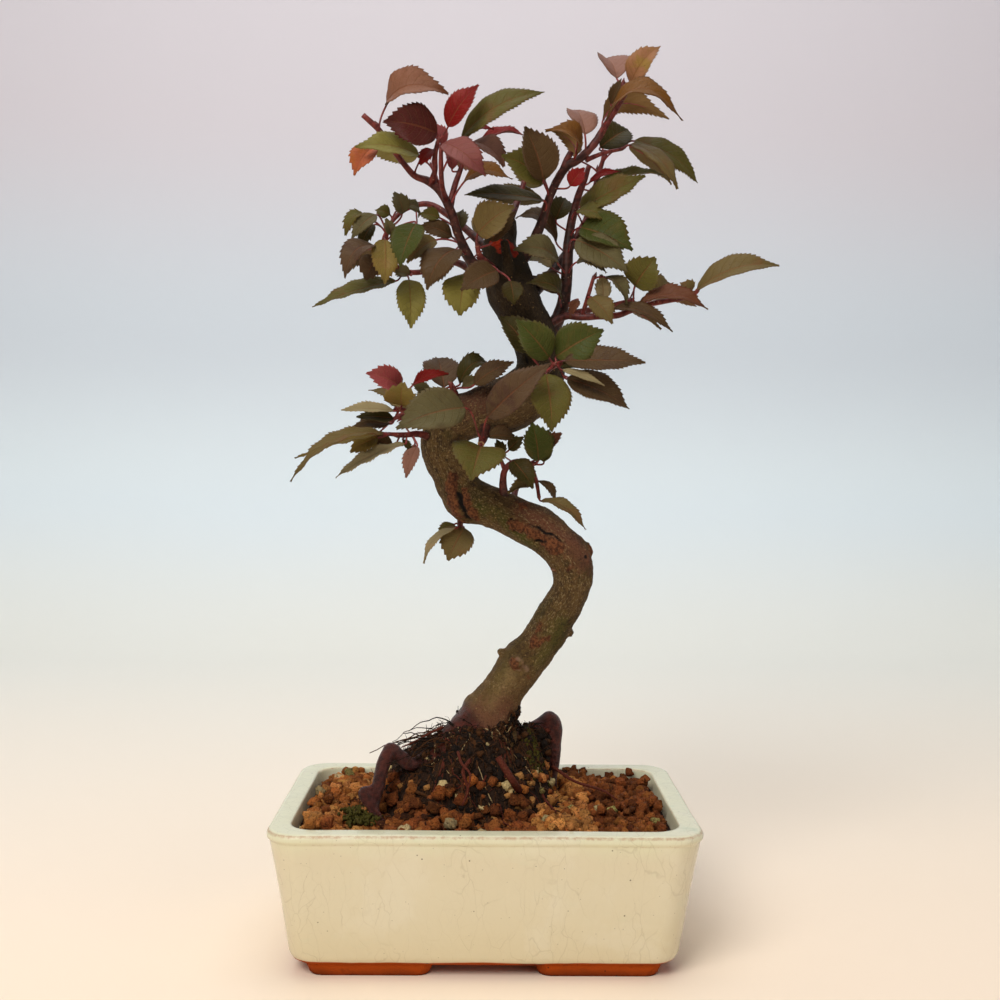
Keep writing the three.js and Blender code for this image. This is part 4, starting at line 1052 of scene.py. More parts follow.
scar_layers = {name: bm.verts.layers.float.new(name) for name in SCAR_TONES}
lifts = {}
for row in rows(SCARS):
    spots, form = row.split(";")
    half_width, height, tone = form.split()
    half_width, height, layer = float(half_width), float(height), scar_layers[tone]
    path = [seen(numbers(spot)) for spot in spots.split(",")]
    middle = sum(path, Vector()) / len(path)
    span = max((point - middle).length for point in path) + 3 * half_width
    for vert in bm.verts:
        if (vert.co - middle).length > span:
            continue
        ragged = 1 + RAGGEDNESS * noise.noise(vert.co / RAG_SIZE)
        wobbly = vert.co + noise.noise_vector(vert.co / WOBBLE_SIZE) * WOBBLE
        share = eased(1 - min(path_gap(wobbly, path) / (half_width * ragged * SCAR_SPREAD), 1))
        lifts[vert] = lifts.get(vert, 0) + height * share
        vert[layer] = max(vert[layer], share)
print("scars on", len(lifts), "points")

# %% Bark relief
FINE_FIBRE, BROAD_LUMP, SMALL_LUMP, TORN_WOOD, SINK = 0.15, 0.6, 0.24, 0.9, 0.1
BARK_LUMP_SIZE, PIMPLE_SIZE, TEAR_SIZE, ROOT_CALM = 6.5, 1.7, 3, 0.6
# fibre is coarse round the limb and long along it
ACROSS_FIBRE, ALONG_FIBRE = 0.55, 0.11
bm.normal_update()
moves = {}
for vert in bm.verts:
    side_x, side_y, along = vert[fibre]
    on_fibre = Vector((side_x * ACROSS_FIBRE, side_y * ACROSS_FIBRE, along * ALONG_FIBRE))
    streak = noise.fractal(on_fibre, 0.9, 2.1, 3) * (1 - vert[seam])
    lump = noise.noise(vert.co / BARK_LUMP_SIZE)
    pimple = noise.noise(vert.co / PIMPLE_SIZE)
    calm = 1 - ROOT_CALM * vert[root_share]
    height = (FINE_FIBRE * streak + SMALL_LUMP * pimple) * calm + BROAD_LUMP * lump - SINK
    torn = vert[scar_layers["wound"]] * noise.noise(vert.co / TEAR_SIZE) * TORN_WOOD
    moves[vert] = vert.normal * (height + torn + lifts.get(vert, 0))
for vert, move in moves.items():
    vert.co += move
print("bark moved by up to", round(max(move.length for move in moves.values()), 2), "mm")

# %% [markdown]
# ## Bark finish
#
# Apple bark is a thin grey-olive film over brown, grainy as fine sandpaper, faintly streaked along
# the wood and dotted with pale breathing pores. Up in the crown it is darker, partly as younger bark
# and partly as painted shade under the leaves; the paler lower trunk is painted light.
# The streaks are noise pressed along the fibre coordinate and fade out at a seam; everything else
# is read from the place itself, so it runs on over the seams. The scars' tones are laid over them,
# and the exposed roots turn wine-brown and smoother.

# %% Bark material
bark, nodes, shader = new_material("bark")
place = nodes.place()
on_limb = nodes.inverse(nodes.read("seam"))
wood = nodes.stretch(nodes.read("fibre", "Vector"), (MM, MM, MM))
along_wood = nodes.stretch(wood, (1, 1, 0.12))
streak = nodes.times(nodes.noise(along_wood, 520.0, 5.0, 0.7), on_limb)
broad = nodes.times(nodes.noise(along_wood, 120.0, 3.0), on_limb)
fleck = nodes.times(nodes.noise(nodes.stretch(wood, (1, 1, 0.5)), 1500.0, 3.0), on_limb)
mottle = nodes.noise(place, 380.0, 6.0, 0.75)
grainy = nodes.noise(place, 1150.0, 3.0, 0.7)
colour = nodes.tones(nodes.step(mottle, 0.34, 0.66), "342412", "6c542c")
colour = nodes.lay(colour, "7c5e38", nodes.step(streak, 0.42, 0.66), 0.55)
colour = nodes.lay(colour, "7c603a", nodes.step(broad, 0.4, 0.68), 0.45)
film = clouds(nodes, place, 60.0, 0.5)
colour = nodes.lay(colour, "484216", film, 0.5)
lichen = clouds(nodes, place, 300.0, 0.22)
colour = nodes.lay(colour, "7e6e48", lichen, 0.3)
colour = nodes.lay(colour, "4e5218", nodes.read("algae"), 0.7)
height = nodes.part(place, 2)
# painted light: the lower trunk, lit below the crown, is made paler
colour = nodes.lay(colour, "a07e4e", nodes.step(height, 0.145, 0.1), 0.36)
# painted light: the pale dry patch on the front of the lower trunk
colour = nodes.lay(colour, "a88c5c", nodes.read("dry"), 0.5)
# the bark's pink blush; across the shoulder it is a painted highlight
pink_and_highlight_share = nodes.times(nodes.read("blush"), nodes.plus(nodes.times(mottle, 0.9), 0.3))
colour = nodes.lay(colour, "7c4c38", pink_and_highlight_share)
colour = nodes.lay(colour, "c0a474", nodes.step(fleck, 0.52, 0.68), 0.45)
colour = nodes.lay(colour, "1c1208", nodes.step(grainy, 0.5, 0.36), 0.42)
# darker up in the crown: partly younger, darker bark, partly painted shade from the leaves above
crown_shade_and_dark_bark = nodes.step(nodes.plus(height, nodes.times(mottle, 0.02)), 0.225, 0.275)
colour = nodes.lay(colour, "1a0f06", crown_shade_and_dark_bark, 0.8)
pore = specks(nodes, place, 520.0, 0.3)
colour = nodes.lay(colour, "ae8c58", pore, 0.6)
knot = nodes.tones(nodes.step(nodes.noise(place, 900.0, 5.0), 0.36, 0.64), "46220f", "8a5230")
colour = nodes.mix(nodes.times(nodes.step(nodes.read("callus"), 0.08, 0.6), 0.9), colour, knot)
colour = nodes.lay(colour, "b08c72", nodes.step(nodes.read("pale"), 0.1, 0.8), 0.5)
raw_wood = nodes.tones(nodes.step(nodes.noise(place, 160.0, 3.0), 0.35, 0.65), "9a2208", "d04414")
colour = nodes.mix(nodes.step(nodes.read("wound"), 0.2, 0.45), colour, raw_wood)
colour = nodes.lay(colour, "120a06", nodes.step(nodes.read("crack"), 0.2, 0.75))
on_root = nodes.read("root_share")
root_edge = nodes.plus(on_root, nodes.times(nodes.minus(mottle, 0.5), 0.6))
root_skin = nodes.tones(nodes.step(mottle, 0.36, 0.66), "32130d", "6a3024")
colour = nodes.mix(nodes.step(root_edge, 0.2, 0.9), colour, root_skin)
fine = grit(nodes, place, 1200.0)
relief = nodes.plus(nodes.times(mottle, 1.6), nodes.times(fine, 1.3))
relief = nodes.plus(relief, nodes.times(pore, 0.5))
matt = nodes.minus(0.72, nodes.times(on_root, 0.38))
shine = nodes.plus(0.25, nodes.times(on_root, 0.25))
finish(nodes, shader, Base_Color=colour, Roughness=matt, Specular_IOR_Level=shine)
finish(nodes, shader, Normal=nodes.bump(relief, 1.0, 0.0010))
wood_skin = BVHTree.FromBMesh(bm)
finished(bm, "old_wood", [bark], "bark", "trunk")

# %% [markdown]
# ## The mat of fine roots
#
# Years in small pots have made a dense dark mat round the trunk's foot. Its body is a ball whose
# upper half is lifted to the root ball's height, and crumbs of old soil and a few clay grains stick
# to it. Hundreds of fine roots creep over it: each is a tube whose line takes short steps, wanders
# and keeps to the surface. Others stand off in curls, and around the flare they climb the bark: a
# BVH tree of the old wood's skin gives the nearest point of bark to each step. Most roots are
# nearly black; some are red-brown and a few are pale young tips.

# %% Body of the root ball, crumbs, and roots that creep over it
ROOT_CHART = {
    "soil": "2a190d", "black": "1b110a", "brown": "4c2d13", "red": "5c281a", "pale": "c0a678",
    "moss": "46400e", "clay": "8a4a20", "tan": "b07c44", "cream": "ccb27c",
}
ROOT_TONES = {name: paint(chart) for name, chart in ROOT_CHART.items()}
CREEPING_ROOTS, CRUMBS, CURLS, CLIMBING_ROOTS, KNEE_CRUMBS = 560, 800, 340, 330, 150
GRAIN_TOPS, CLAY_BELOW, WALL_CLEARANCE, MAT_UNDERSIDE = 59, 76, 4, 9
CURL_STEPS, HAIR_STEPS = 6, 12
draw = random.Random(23)
bm = bmesh.new()
tone_layer = bm.verts.layers.float_color.new("root_tone")
bmesh.ops.create_uvsphere(bm, u_segments=96, v_segments=56, radius=1)
for vert in bm.verts:
    x, y, z = vert.co
    wide, deep = BALL_X + x * BALL_HALF_X, BALL_Y + y * BALL_HALF_Y
    height = ball_height(wide, deep) if z > 0 else SOIL_LEVEL + z * MAT_UNDERSIDE
    vert.co = Vector((wide, deep, height))
    vert[tone_layer] = ROOT_TONES["soil"]


def drawn_vector(reach):
    return Vector([draw.uniform(-reach, reach) for _ in range(3)])


def thinning(width, loss, count):
    """The radius at each point of a root that loses a share of its width towards its tip."""
    return [width / 2 * (1 - loss * n / count) for n in range(count)]


def add_root(bm, layer, line, radii, sides, tone):
    for vert in tube(bm, line, radii, sides)[0]:
        vert[layer] = ROOT_TONES[tone]


def root_on_ball(bm, layer, start, heading, steps, width, tone):
    """A fine root that creeps over the root ball and thins out towards its tip."""
    x, y = start
    line = []
    for _ in range(steps):
        height = max(ball_height(x, y), GRAIN_TOPS + 0.5) + draw.uniform(-0.25, 0.75)
        line.append(Vector((x, y, height)))
        heading += draw.uniform(-0.55, 0.55)
        stride = draw.uniform(1.3, 3)
        x += math.cos(heading) * stride
        y += math.sin(heading) * stride
        if abs(x) > bed_x - WALL_CLEARANCE or abs(y) > bed_y - WALL_CLEARANCE:
            break
    if len(line) > 2:
        add_root(bm, layer, line, thinning(width, 0.75, steps)[:len(line)], 4, tone)


def place_on_ball(inner, outer):
    """A drawn place on the root ball between two reaches, and the way out from its middle."""
    around, out = draw.uniform(0, math.tau), math.sqrt(draw.uniform(inner ** 2, outer ** 2))
    x = BALL_X + math.cos(around) * BALL_HALF_X * out
    y = BALL_Y + math.sin(around) * BALL_HALF_Y * out
    return Vector((x, y, max(ball_height(x, y), GRAIN_TOPS))), around


crumbs = []
for _ in range(CRUMBS):
    spot, _around = place_on_ball(0, 1)
    with_clay = spot.z < CLAY_BELOW and draw.random() < 0.35
    tone = draw.choice(["clay", "tan", "clay", "soil"] if with_clay else ["soil", "black", "brown"])
    size = draw.uniform(1, 2.3) if tone in ("clay", "tan") else draw.uniform(0.6, 1.9)
    if draw.random() < 0.02:
        tone, size = "cream", draw.uniform(1, 1.9)
    crumbs.append((spot, size, ROOT_TONES[tone], crumb_shapes))
in_batches(bm, "root_tone", crumbs, add_grain)

creeping = []
for _ in range(CREEPING_ROOTS):
    spot, around = place_on_ball(0.1, 0.95)
    tone = draw.choice(["black", "black", "brown", "brown", "brown", "red"])
    width, steps = draw.choice([0.4, 0.5, 0.7, 0.9, 1.3]), draw.randint(5, 12)
    if draw.random() < 0.09:
        tone, width, steps = "pale", draw.uniform(0.35, 0.6), draw.randint(3, 6)
    heading = around + draw.uniform(-1, 1) * draw.choice([0.7, 3.1])
    creeping.append(((spot.x, spot.y), heading, steps, width, tone))
in_batches(bm, "root_tone", creeping, root_on_ball)

curls = []
for _ in range(CURLS):
    spot, around = place_on_ball(0, 0.98)
    way = Vector((math.cos(around), math.sin(around), draw.uniform(-0.3, 1.2))).normalized()
    line = [spot - way * 0.5]
    for _step in range(CURL_STEPS):
        way = (way + drawn_vector(0.7)).normalized()
        line.append(line[-1] + way * draw.uniform(0.8, 1.8))
    width, tone = draw.uniform(0.3, 0.55), draw.choice(["black", "black", "brown"])
    curls.append((line, [width / 2 * (1 - 0.1 * n) for n in range(CURL_STEPS + 1)], 4, tone))
in_batches(bm, "root_tone", curls, add_root)
print("root mat so far:", len(bm.faces), "faces")

# %% Roots and crumbs that climb the flare of the trunk
# how far up the bark they reach, on the left, in front and on the right: [x, height]
FLARE_EDGE = [(-24, 96), (-14, 101), (-2, 97), (6, 98), (13, 102), (30, 98)]
FLARE_X, FLARE_Y, FLARE_HALF_X, FLARE_HALF_Y, FLARE_DEPTH = -5, 4, 26, 22, 13


def flare_edge(x):
    """The height of the mat's ragged upper edge on the bark."""
    for (left, low), (right, high) in zip(FLARE_EDGE, FLARE_EDGE[1:]):
        if x <= right:
            return low + (high - low) * max(x - left, 0) / (right - left)
    return FLARE_EDGE[-1][1]


def on_bark(point, gap):
    """The point that lies a small gap off the nearest bark."""
    spot, facing, _number, _distance = wood_skin.find_nearest(point)
    return spot + facing * gap


climbing = []
for _ in range(CLIMBING_ROOTS):
    around = draw.uniform(0, math.tau)
    x, y = FLARE_X + FLARE_HALF_X * math.cos(around), FLARE_Y + FLARE_HALF_Y * math.sin(around)
    spot = on_bark(Vector((x, y, flare_edge(x) - draw.uniform(0, FLARE_DEPTH) * draw.random())), 0.3)
    spot.z = min(spot.z, flare_edge(spot.x))
    way = Vector((draw.uniform(-1, 1), draw.uniform(-1, 1), draw.uniform(-1, 0.1))).normalized()
    line, width = [], draw.choice([0.45, 0.6, 0.8, 1.1])
    for _step in range(draw.randint(5, 11)):
        line.append(on_bark(spot, draw.uniform(-0.2, 0.9)))
        way = (way + drawn_vector(0.6) - Vector((0, 0, 0.18))).normalized()
        spot = line[-1] + way * draw.uniform(1.1, 2.2)
    tone = draw.choice(["black", "black", "black", "brown", "brown", "red"])
    if draw.random() < 0.1:
        tone, width, line = "pale", 0.5, line[:5]
    climbing.append((line, thinning(width, 0.7, len(line)), 4, tone))
in_batches(bm, "root_tone", climbing, add_root)
flare_crumbs = []
for line, *_rest in climbing:
    tone = ROOT_TONES[draw.choice(["soil", "soil", "black", "brown"])]
    flare_crumbs.append((draw.choice(line), draw.uniform(0.4, 1.1), tone, crumb_shapes))
in_batches(bm, "root_tone", flare_crumbs, add_grain)
print("roots on the flare:", len(climbing))

# %% Old soil held under the right knee
# where it lies, as a span of columns, of rows and of depths
KNEE_SPANS = [(534, 550), (729, 778), (7, 17)]
knee_crumbs = []
for _ in range(KNEE_CRUMBS):
    spot = seen([draw.uniform(*span) for span in KNEE_SPANS])
    tone = ROOT_TONES[draw.choice(["soil", "soil", "black", "brown", "red"])]
    knee_crumbs.append((spot, draw.uniform(0.8, 1.9), tone, crumb_shapes))
in_batches(bm, "root_tone", knee_crumbs, add_grain)
print("crumbs under the knee:", KNEE_CRUMBS)

# %% Pale grains caught in the mat
# each grain as column, row and size in mm
PALE_GRAINS = """
445 748 1.6, 428 759 1.9, 443 785 2.2, 450 790 1.6, 508 786 2.8, 513 792 2.2, 457 795 1.6,
535 774 1.5, 481 809 1.5, 487 744 1, 524 759 1, 463 800 1.3
"""


def on_ball(column, row):
    """The first place where the line of sight meets the root ball."""
    for depth in range(-40, 30):
        spot = seen((column, row, depth))
        if ball_height(spot.x, spot.y) >= spot.z:
            break
    return spot


pale = []
for grain in PALE_GRAINS.split(","):
    column, row, size = numbers(grain)
    pale.append((on_ball(column, row), size, ROOT_TONES["cream"]))
in_batches(bm, "root_tone", pale, add_grain)
print("pale grains:", len(pale))

# %% Roots that stand out: a cut stub, long red roots and the wiry hairs on the left
# each root as "column row depth width" at its places, and then its tone
SINGLE_ROOTS = """
519 790 -20 3.4, 512 780 -29 3.2, 498 757 -27 2.8; red
552 766 10 1.7, 574 781 5 1.4, 592 787 2 1.3, 606 792 0 1.1, 617 800 -2 0.7; red
498 805 -14 2.2, 510 807 -16 3.2, 524 810 -17 3.4, 538 810 -18 2.4; black
470 760 -22 1.8, 463 772 -30 1.6, 468 790 -32 1.3, 462 806 -34 0.8; red
536 770 6 1.8, 541 784 -4 1.5, 544 798 -12 1.2, 556 812 -18 0.8; red
440 765 -16 2, 430 778 -20 1.6, 434 794 -24 1; brown
443 727 -7 1.5, 430 733 -9 1.2, 416 741 -12 1, 402 747 -18 0.6; red
458 752 -22 1.4, 462 764 -29 1.2, 470 774 -33 1, 468 790 -36 0.6; red
412 790 -24 1.6, 428 797 -25 1.4, 444 808 -28 0.8; brown
"""
# where each wiry hair starts and ends
WIRY_HAIRS = """
452 736 -4, 372 752 -16
448 740 -6, 377 757 -20
450 744 -8, 392 744 -10
452 732 -3, 402 741 -6
456 728 -5, 415 733 -8
446 746 -9, 384 766 -26
446 750 -10, 408 738 4
450 744 -9, 404 762 -28
454 728 2, 410 741 10
450 748 4, 388 748 8
530 728 2, 548 742 -4
528 733 4, 544 750 2
"""
single = []
for row in rows(SINGLE_ROOTS):
    places, tone = row.split("; ")
    path, widths = limb(places)
    single.append((*smooth_line([seen(spot) for spot in path], widths, 5), 8, tone))
for hair in rows(WIRY_HAIRS):
    start, end = (seen(numbers(spot)) for spot in hair.split(","))
    for strand in range(2):
        line, drift, rise = [], Vector(), draw.uniform(1, 5)
        for n in range(HAIR_STEPS + 1):
            share = n / HAIR_STEPS
            drift += drawn_vector(1) * (0.55 + 0.3 * strand)
            reach = start.lerp(end, share * (1 - 0.3 * strand))
            line.append(reach + drift + Vector((0, 0, rise * math.sin(math.pi * share))))
        width, tone = 0.75 - 0.25 * strand, draw.choice(["black", "black", "brown"])
        radii = [width / 2 * (1 - 0.5 * n / HAIR_STEPS) for n in range(HAIR_STEPS + 1)]
        single.append((line, radii, 4, tone))
in_batches(bm, "root_tone", single, add_root)

# %% Moss at the foot of the left root and beside the right one
# [middle in the picture, spread in mm, number of tufts]
MOSS_BEDS = [
    ((362, 818, -35), 6.5, 190), ((538, 745, 4), 6, 120), ((534, 768, -4), 4, 50),
    ((352, 806, -22), 5, 60),
]
MOSS_LEVEL, MOSS_FLATNESS, MOSS_RISE = 60.5, 0.45, 0.35
moss = []
for middle, spread, tufts in MOSS_BEDS:
    middle = seen(middle)
    for _ in range(tufts):
        offset = Vector([draw.gauss(0, spread / 2) for _ in range(3)])
        foot_point = middle + Vector((offset.x, offset.y, offset.z * MOSS_FLATNESS))
        if ball_reach(foot_point.x, foot_point.y) < 1:
            foot_point.z = ball_height(foot_point.x, foot_point.y)
        else:
            foot_point.z = MOSS_LEVEL + abs(offset.z) * MOSS_RISE
        lean = Vector((draw.uniform(-1, 1), draw.uniform(-1, 1), 1.6)).normalized()
        line = [foot_point + lean * reach for reach in (-0.6, 0.4, draw.uniform(0.7, 1.4))]
        moss.append((line, [0.7, 0.75, 0.2], 4, "moss"))
in_batches(bm, "root_tone", moss, add_root)
print("root mat:", len(bm.faces), "faces")

# %% Finish of the root mat
root_mat, nodes, shader = new_material("root_mat")
place = nodes.place()
colour = nodes.read("root_tone", "Color")
crumbly = clouds(nodes, place, 420.0, 0.4)
colour = nodes.lay(colour, "4a2a12", crumbly, 0.45)
dust = specks(nodes, place, 900.0, 0.12)
colour = nodes.lay(colour, "9a6c3c", dust, 0.5)
relief = nodes.bump(grit(nodes, place, 800.0), 0.9, 0.0012)
damp = nodes.minus(0.75, nodes.times(crumbly, 0.35))
finish(nodes, shader, Base_Color=colour, Roughness=damp, Normal=relief)
shader.inputs["Specular IOR Level"].default_value = 0.2
finished(bm, "root_mat", [root_mat], "root_mat", "root_ball")

# %% [markdown]
# ## Apple leaves
#
# An apple leaf is an oval blade with forward-pointing teeth, folded along its midrib and arched
# from stalk to tip. A grid is bent into that form: its columns run across the blade and its rows
# along it, two rows to a tooth, one at the notch and one at the point. The sheet is then extruded
# into a thin closed shell. Every point keeps where it lies on its blade, the blade's two colours
# and whether it is on the upper side, so one finish can draw the veins on all of them.

# %% Form of a blade
# how far a leaf folds, waves and twists, in radians and millimetres
FOLD, WAVE, TWIST, CURL, DROOP = (0.3, 0.58), (0.15, 0.6), 0.35, (-0.1, 0.5), 0.05
WIDEST_PLACE, FULLNESS, TIP_TAPER = 0.8, 0.78, 0.42
# the two sides' veins leave the midrib a little apart, slanting and bending towards the tip
SIDE_VEIN_PAIRS, VEIN_SLANT, VEIN_BEND, VEIN_OFFSET, QUILTING = 8, 0.13, 0.1, 0.45, 0.2
TOOTH_PITCH, TOOTH_POINT, TOOTH_DEPTH, TOOTH_REACH = 1.7, 0.76, 0.45, 0.4
BLADE_THICK, BLADE_COLUMNS = 0.32, 12


def ease(value, low, high):
    """0 below low and 1 above high, with a soft change between them."""
    return eased(min(max((value - low) / (high - low), 0), 1))


def blade_outline(s):
    """Half width at a share s of the blade's length, as a share of the leaf's half width."""
    oval = math.sin(math.pi * min(max(s, 0), 1) ** WIDEST_PLACE) ** FULLNESS
    return oval * (1 - TIP_TAPER * ease(s, 0.66, 1))


def leaf_turn(base, tip, tilt):
    """The blade's three directions: along the midrib, to its side and out of its upper face."""
    axis = (tip - base).normalized()
    front = Vector((0, -1, 0))
    front = (front - axis * front.dot(axis)).normalized()
    skyward = axis.cross(front)
    if skyward.z < 0:
        skyward.negate()
    up = front * math.cos(math.radians(tilt)) + skyward * math.sin(math.radians(tilt))
    return axis, axis.cross(up), up


class Blade:
    """Places on one leaf, from a share of its length and a distance to the side."""

    def __init__(self, base, tip, tilt, arch, draw):
        self.base, self.arch = base, arch
        self.length = (tip - base).length
        self.axis, self.side, self.up = leaf_turn(base, tip, tilt)
        self.fold = draw.uniform(*FOLD)
        self.wave, self.phase = draw.uniform(*WAVE), draw.uniform(0, math.tau)
        self.twist = draw.uniform(-TWIST, TWIST)
        self.curl = [draw.uniform(*CURL) for _ in range(2)]
        self.droop = draw.uniform(0, DROOP) * self.length

    def rib(self, s):
        arch = self.arch * 4 * s * (1 - s) - self.droop * ease(s, 0.6, 1.1)
        return self.base + self.axis * self.length * s + self.up * arch

    def heading(self, s):
        return (self.axis * self.length + self.up * self.arch * 4 * (1 - 2 * s)).normalized()

    def point(self, s, out, half_width):
        """The valley of the fold is round, the edge curls down and waves, each vein is sunken."""
        heading = self.heading(s)
        turn = Matrix.Rotation(self.twist * (s - 0.3), 3, heading)
        side, facing = turn @ self.side, turn @ self.side.cross(heading)
        reach = abs(out)
        edge = reach / max(half_width, TINY)
        lift = (math.sqrt(reach ** 2 + 0.3) - 0.55) * math.sin(self.fold)
        lift -= self.curl[out > 0] * half_width * 0.5 * edge ** 3
        phase = self.phase + (2 if out > 0 else 0)
        lift += self.wave * edge ** 2 * math.sin(self.length * s * 0.7 + phase)
        vein = (s - VEIN_SLANT * edge - VEIN_BEND * edge ** 2) * SIDE_VEIN_PAIRS
        sunken = abs(math.cos(math.pi * (vein + (VEIN_OFFSET if out > 0 else 0)))) - 0.6
        lift += QUILTING * math.sin(math.pi * min(edge * 1.1, 1)) * sunken
        return self.rib(s) + side * out * math.cos(self.fold) + facing * lift


def add_blade(bm, layers, blade, width, colours, number):
    """Adds one toothed blade to a shoot as a thin closed shell."""
    teeth = max(5, round(blade.length / TOOTH_PITCH))
    grid = bmesh.ops.create_grid(bm, x_segments=BLADE_COLUMNS, y_segments=2 * teeth, size=1)
    sheet = grid["verts"]
    for vert in sheet:
        across = vert.co.x
        row = round((vert.co.y + 1) * teeth)
        pair, is_point = divmod(row, 2)
        s = (pair + TOOTH_POINT * is_point) / teeth
        half_width = width / 2 * blade_outline(s)
        edge = abs(across)
        if edge > 0.95 and 0 < row < 2 * teeth:
            tooth = min(TOOTH_DEPTH, half_width * 0.13) * (1 if is_point else -0.6)
            out, ahead = half_width + tooth, TOOTH_REACH / teeth * is_point
        else:
            out, ahead = half_width * edge, 0
        vert.co = blade.point(s + ahead, math.copysign(out, across), max(half_width, TINY))
        vert[layers["blade"]] = Vector((across, s, number))
        vert[layers["leaf_main"]], vert[layers["leaf_blush"]] = colours
    ends = [vert for vert in sheet if vert[layers["blade"]].y in (0, 1)]
    bmesh.ops.remove_doubles(bm, verts=ends, dist=0.02)
    sheet = [vert for vert in sheet if vert.is_valid]
    faces = list({face for vert in sheet for face in vert.link_faces})
    bmesh.ops.recalc_face_normals(bm, faces=faces)
    for face in faces:
        face.normal_update()
    if faces[len(faces) // 2].normal.dot(blade.up) < 0:
        bmesh.ops.reverse_faces(bm, faces=faces)
    made = bmesh.ops.extrude_face_region(bm, geom=faces)["geom"]
    upper = [item for item in made if isinstance(item, bmesh.types.BMVert)]
    for vert in upper:
        along = vert[layers["blade"]].y
        vert.co += blade.side.cross(blade.heading(along)) * BLADE_THICK
        vert[layers["upper"]] = 1
    shell = list({face for vert in upper + sheet for face in vert.link_faces})
    bmesh.ops.recalc_face_normals(bm, faces=shell)


print("a 30 mm leaf has", round(30 / TOOTH_PITCH), "teeth a side")

# %% [markdown]
# ## Leaf colours
#
# In autumn one tree carries every stage from green to red. Each stage gets a name and two tones
# from the paint chart: the blade's own colour, and the blush that clouds it and runs out from the
# midrib. The shoots below say which leaf has turned how far.

# %% Stages from green to red
LEAF_STAGES = {
    "green": ("3e4518", "564a20"), "dark": ("38320f", "443318"), "olive": ("565020", "624624"),
    "lime": ("7a7236", "6c642a"), "khaki": ("685832", "704f30"), "gold": ("7a6832", "84683a"),
    "ochre": ("6e5c28", "7a6032"), "pale": ("9a8c66", "a88f6a"), "grey": ("5a5234", "4c4028"),
    "brown": ("4e3a22", "402a1a"), "mauve": ("56422f", "462f26"), "rust": ("623a26", "6e3c26"),
    "amber": ("6e4618", "5c3614"), "orange": ("a8583a", "a8602e"), "salmon": ("845a46", "6a3618"),
    "peach": ("966848", "8e7430"), "pink": ("7c4540", "6a3234"), "rose": ("8a3c3c", "965048"),
    "red": ("740f0e", "842a26"), "maroon": ("4a1a16", "360f0e"), "scarlet": ("7c1214", "8a2420"),
    "taupe": ("885f50", "6c4a3e"),
}
stage_colours = {name: tuple(paint(tone) for tone in tones) for name, tones in LEAF_STAGES.items()}
print("leaf stages:", len(stage_colours))

# %% [markdown]
# ## Veins
#
# The midrib is where the blade's across coordinate is near zero. Side veins leave it in pairs and
# bend towards the tip: adding some of the across coordinate to the along coordinate slants a row of
# stripes just so. Between them a Voronoi net gives the finest veins. The group puts out one mask
# for each, and the material decides how they are coloured and raised.

# %% Node group: leaf veins
LEAF_VEINS, inner, given, give = new_group(
    "Leaf veins", "Blade", {"Pairs": 8.0}, ["Midrib", "Side veins", "Net", "Edge"]
)
across, along = inner.part(given["Blade"], 0), inner.part(given["Blade"], 1)
edge = inner.math("ABSOLUTE", across)
give("Edge", edge)
rib_width = inner.minus(0.1, inner.times(along, 0.07))
give("Midrib", inner.inverse(inner.step(edge, inner.times(rib_width, 0.3), rib_width)))
bend = inner.times(inner.math("POWER", edge, 2.0), VEIN_BEND)
slant = inner.plus(inner.times(edge, VEIN_SLANT), bend)
stripes = inner.times(inner.minus(along, slant), given["Pairs"])
one_side = inner.math("GREATER_THAN", across, 0.0)
stripes = inner.plus(stripes, inner.times(one_side, VEIN_OFFSET))
centre_gap = inner.math("ABSOLUTE", inner.minus(inner.math("FRACT", stripes), 0.5))
side_vein = inner.inverse(inner.step(centre_gap, 0.015, 0.085))
give("Side veins", inner.times(side_vein, inner.inverse(inner.step(edge, 0.72, 0.97))))
net_place = inner.stretch(given["Blade"], (1, 2.1, 3))
net = inner.cells(net_place, 9.0, "DISTANCE_TO_EDGE").outputs["Distance"]
give("Net", inner.inverse(inner.step(net, 0.0, 0.12)))
print("leaf veins:", len(LEAF_VEINS.nodes), "nodes")

# %% [markdown]
# ## Leaf finish
#
# The upper side is deep and a little waxy, with sunken veins; the under side is paler, greyer and
# matt, with the veins standing out. Blush clouds the blade, gathers along its edge and reddens the
# midrib, and tiny dots of sunburn pepper it. The same material serves every leaf on the tree.

# %% Leaf material
apple_leaf, nodes, shader = new_material("apple_leaf")
place = nodes.place()
main, blush = nodes.read("leaf_main", "Color"), nodes.read("leaf_blush", "Color")
upper = nodes.read("upper")
veins = nodes.group(LEAF_VEINS, Blade=nodes.read("blade", "Vector"), Pairs=float(SIDE_VEIN_PAIRS))
clouded = clouds(nodes, place, 85.0, 0.45)
mottled = clouds(nodes, place, 380.0, 0.4)
colour = nodes.mix(nodes.times(clouded, 0.7), main, blush)
colour = nodes.mix(nodes.times(mottled, 0.22), colour, nodes.lay(blush, "3a2c18", 0.5))
rim = nodes.step(veins["Edge"], 0.78, 1.0)
colour = nodes.mix(nodes.times(rim, 0.3), colour, nodes.lay(blush, "4a2818", 0.55))
burn = specks(nodes, place, 640.0, 0.07)
colour = nodes.lay(colour, "33180e", burn, 0.55)
vein_tone = nodes.mix(0.5, nodes.lay(main, "b89c60", 0.35), blush)
colour = nodes.mix(nodes.times(veins["Net"], 0.1), colour, vein_tone)
colour = nodes.mix(nodes.times(veins["Side veins"], 0.28), colour, vein_tone)
colour = nodes.mix(nodes.times(veins["Midrib"], 0.6), colour, nodes.lay(vein_tone, "7a2e1e", 0.45))
pale_side = nodes.lay(colour, "8c7a56", 0.3)
colour = nodes.mix(upper, pale_side, colour)
sink = nodes.plus(veins["Midrib"], nodes.times(veins["Side veins"], 0.7))
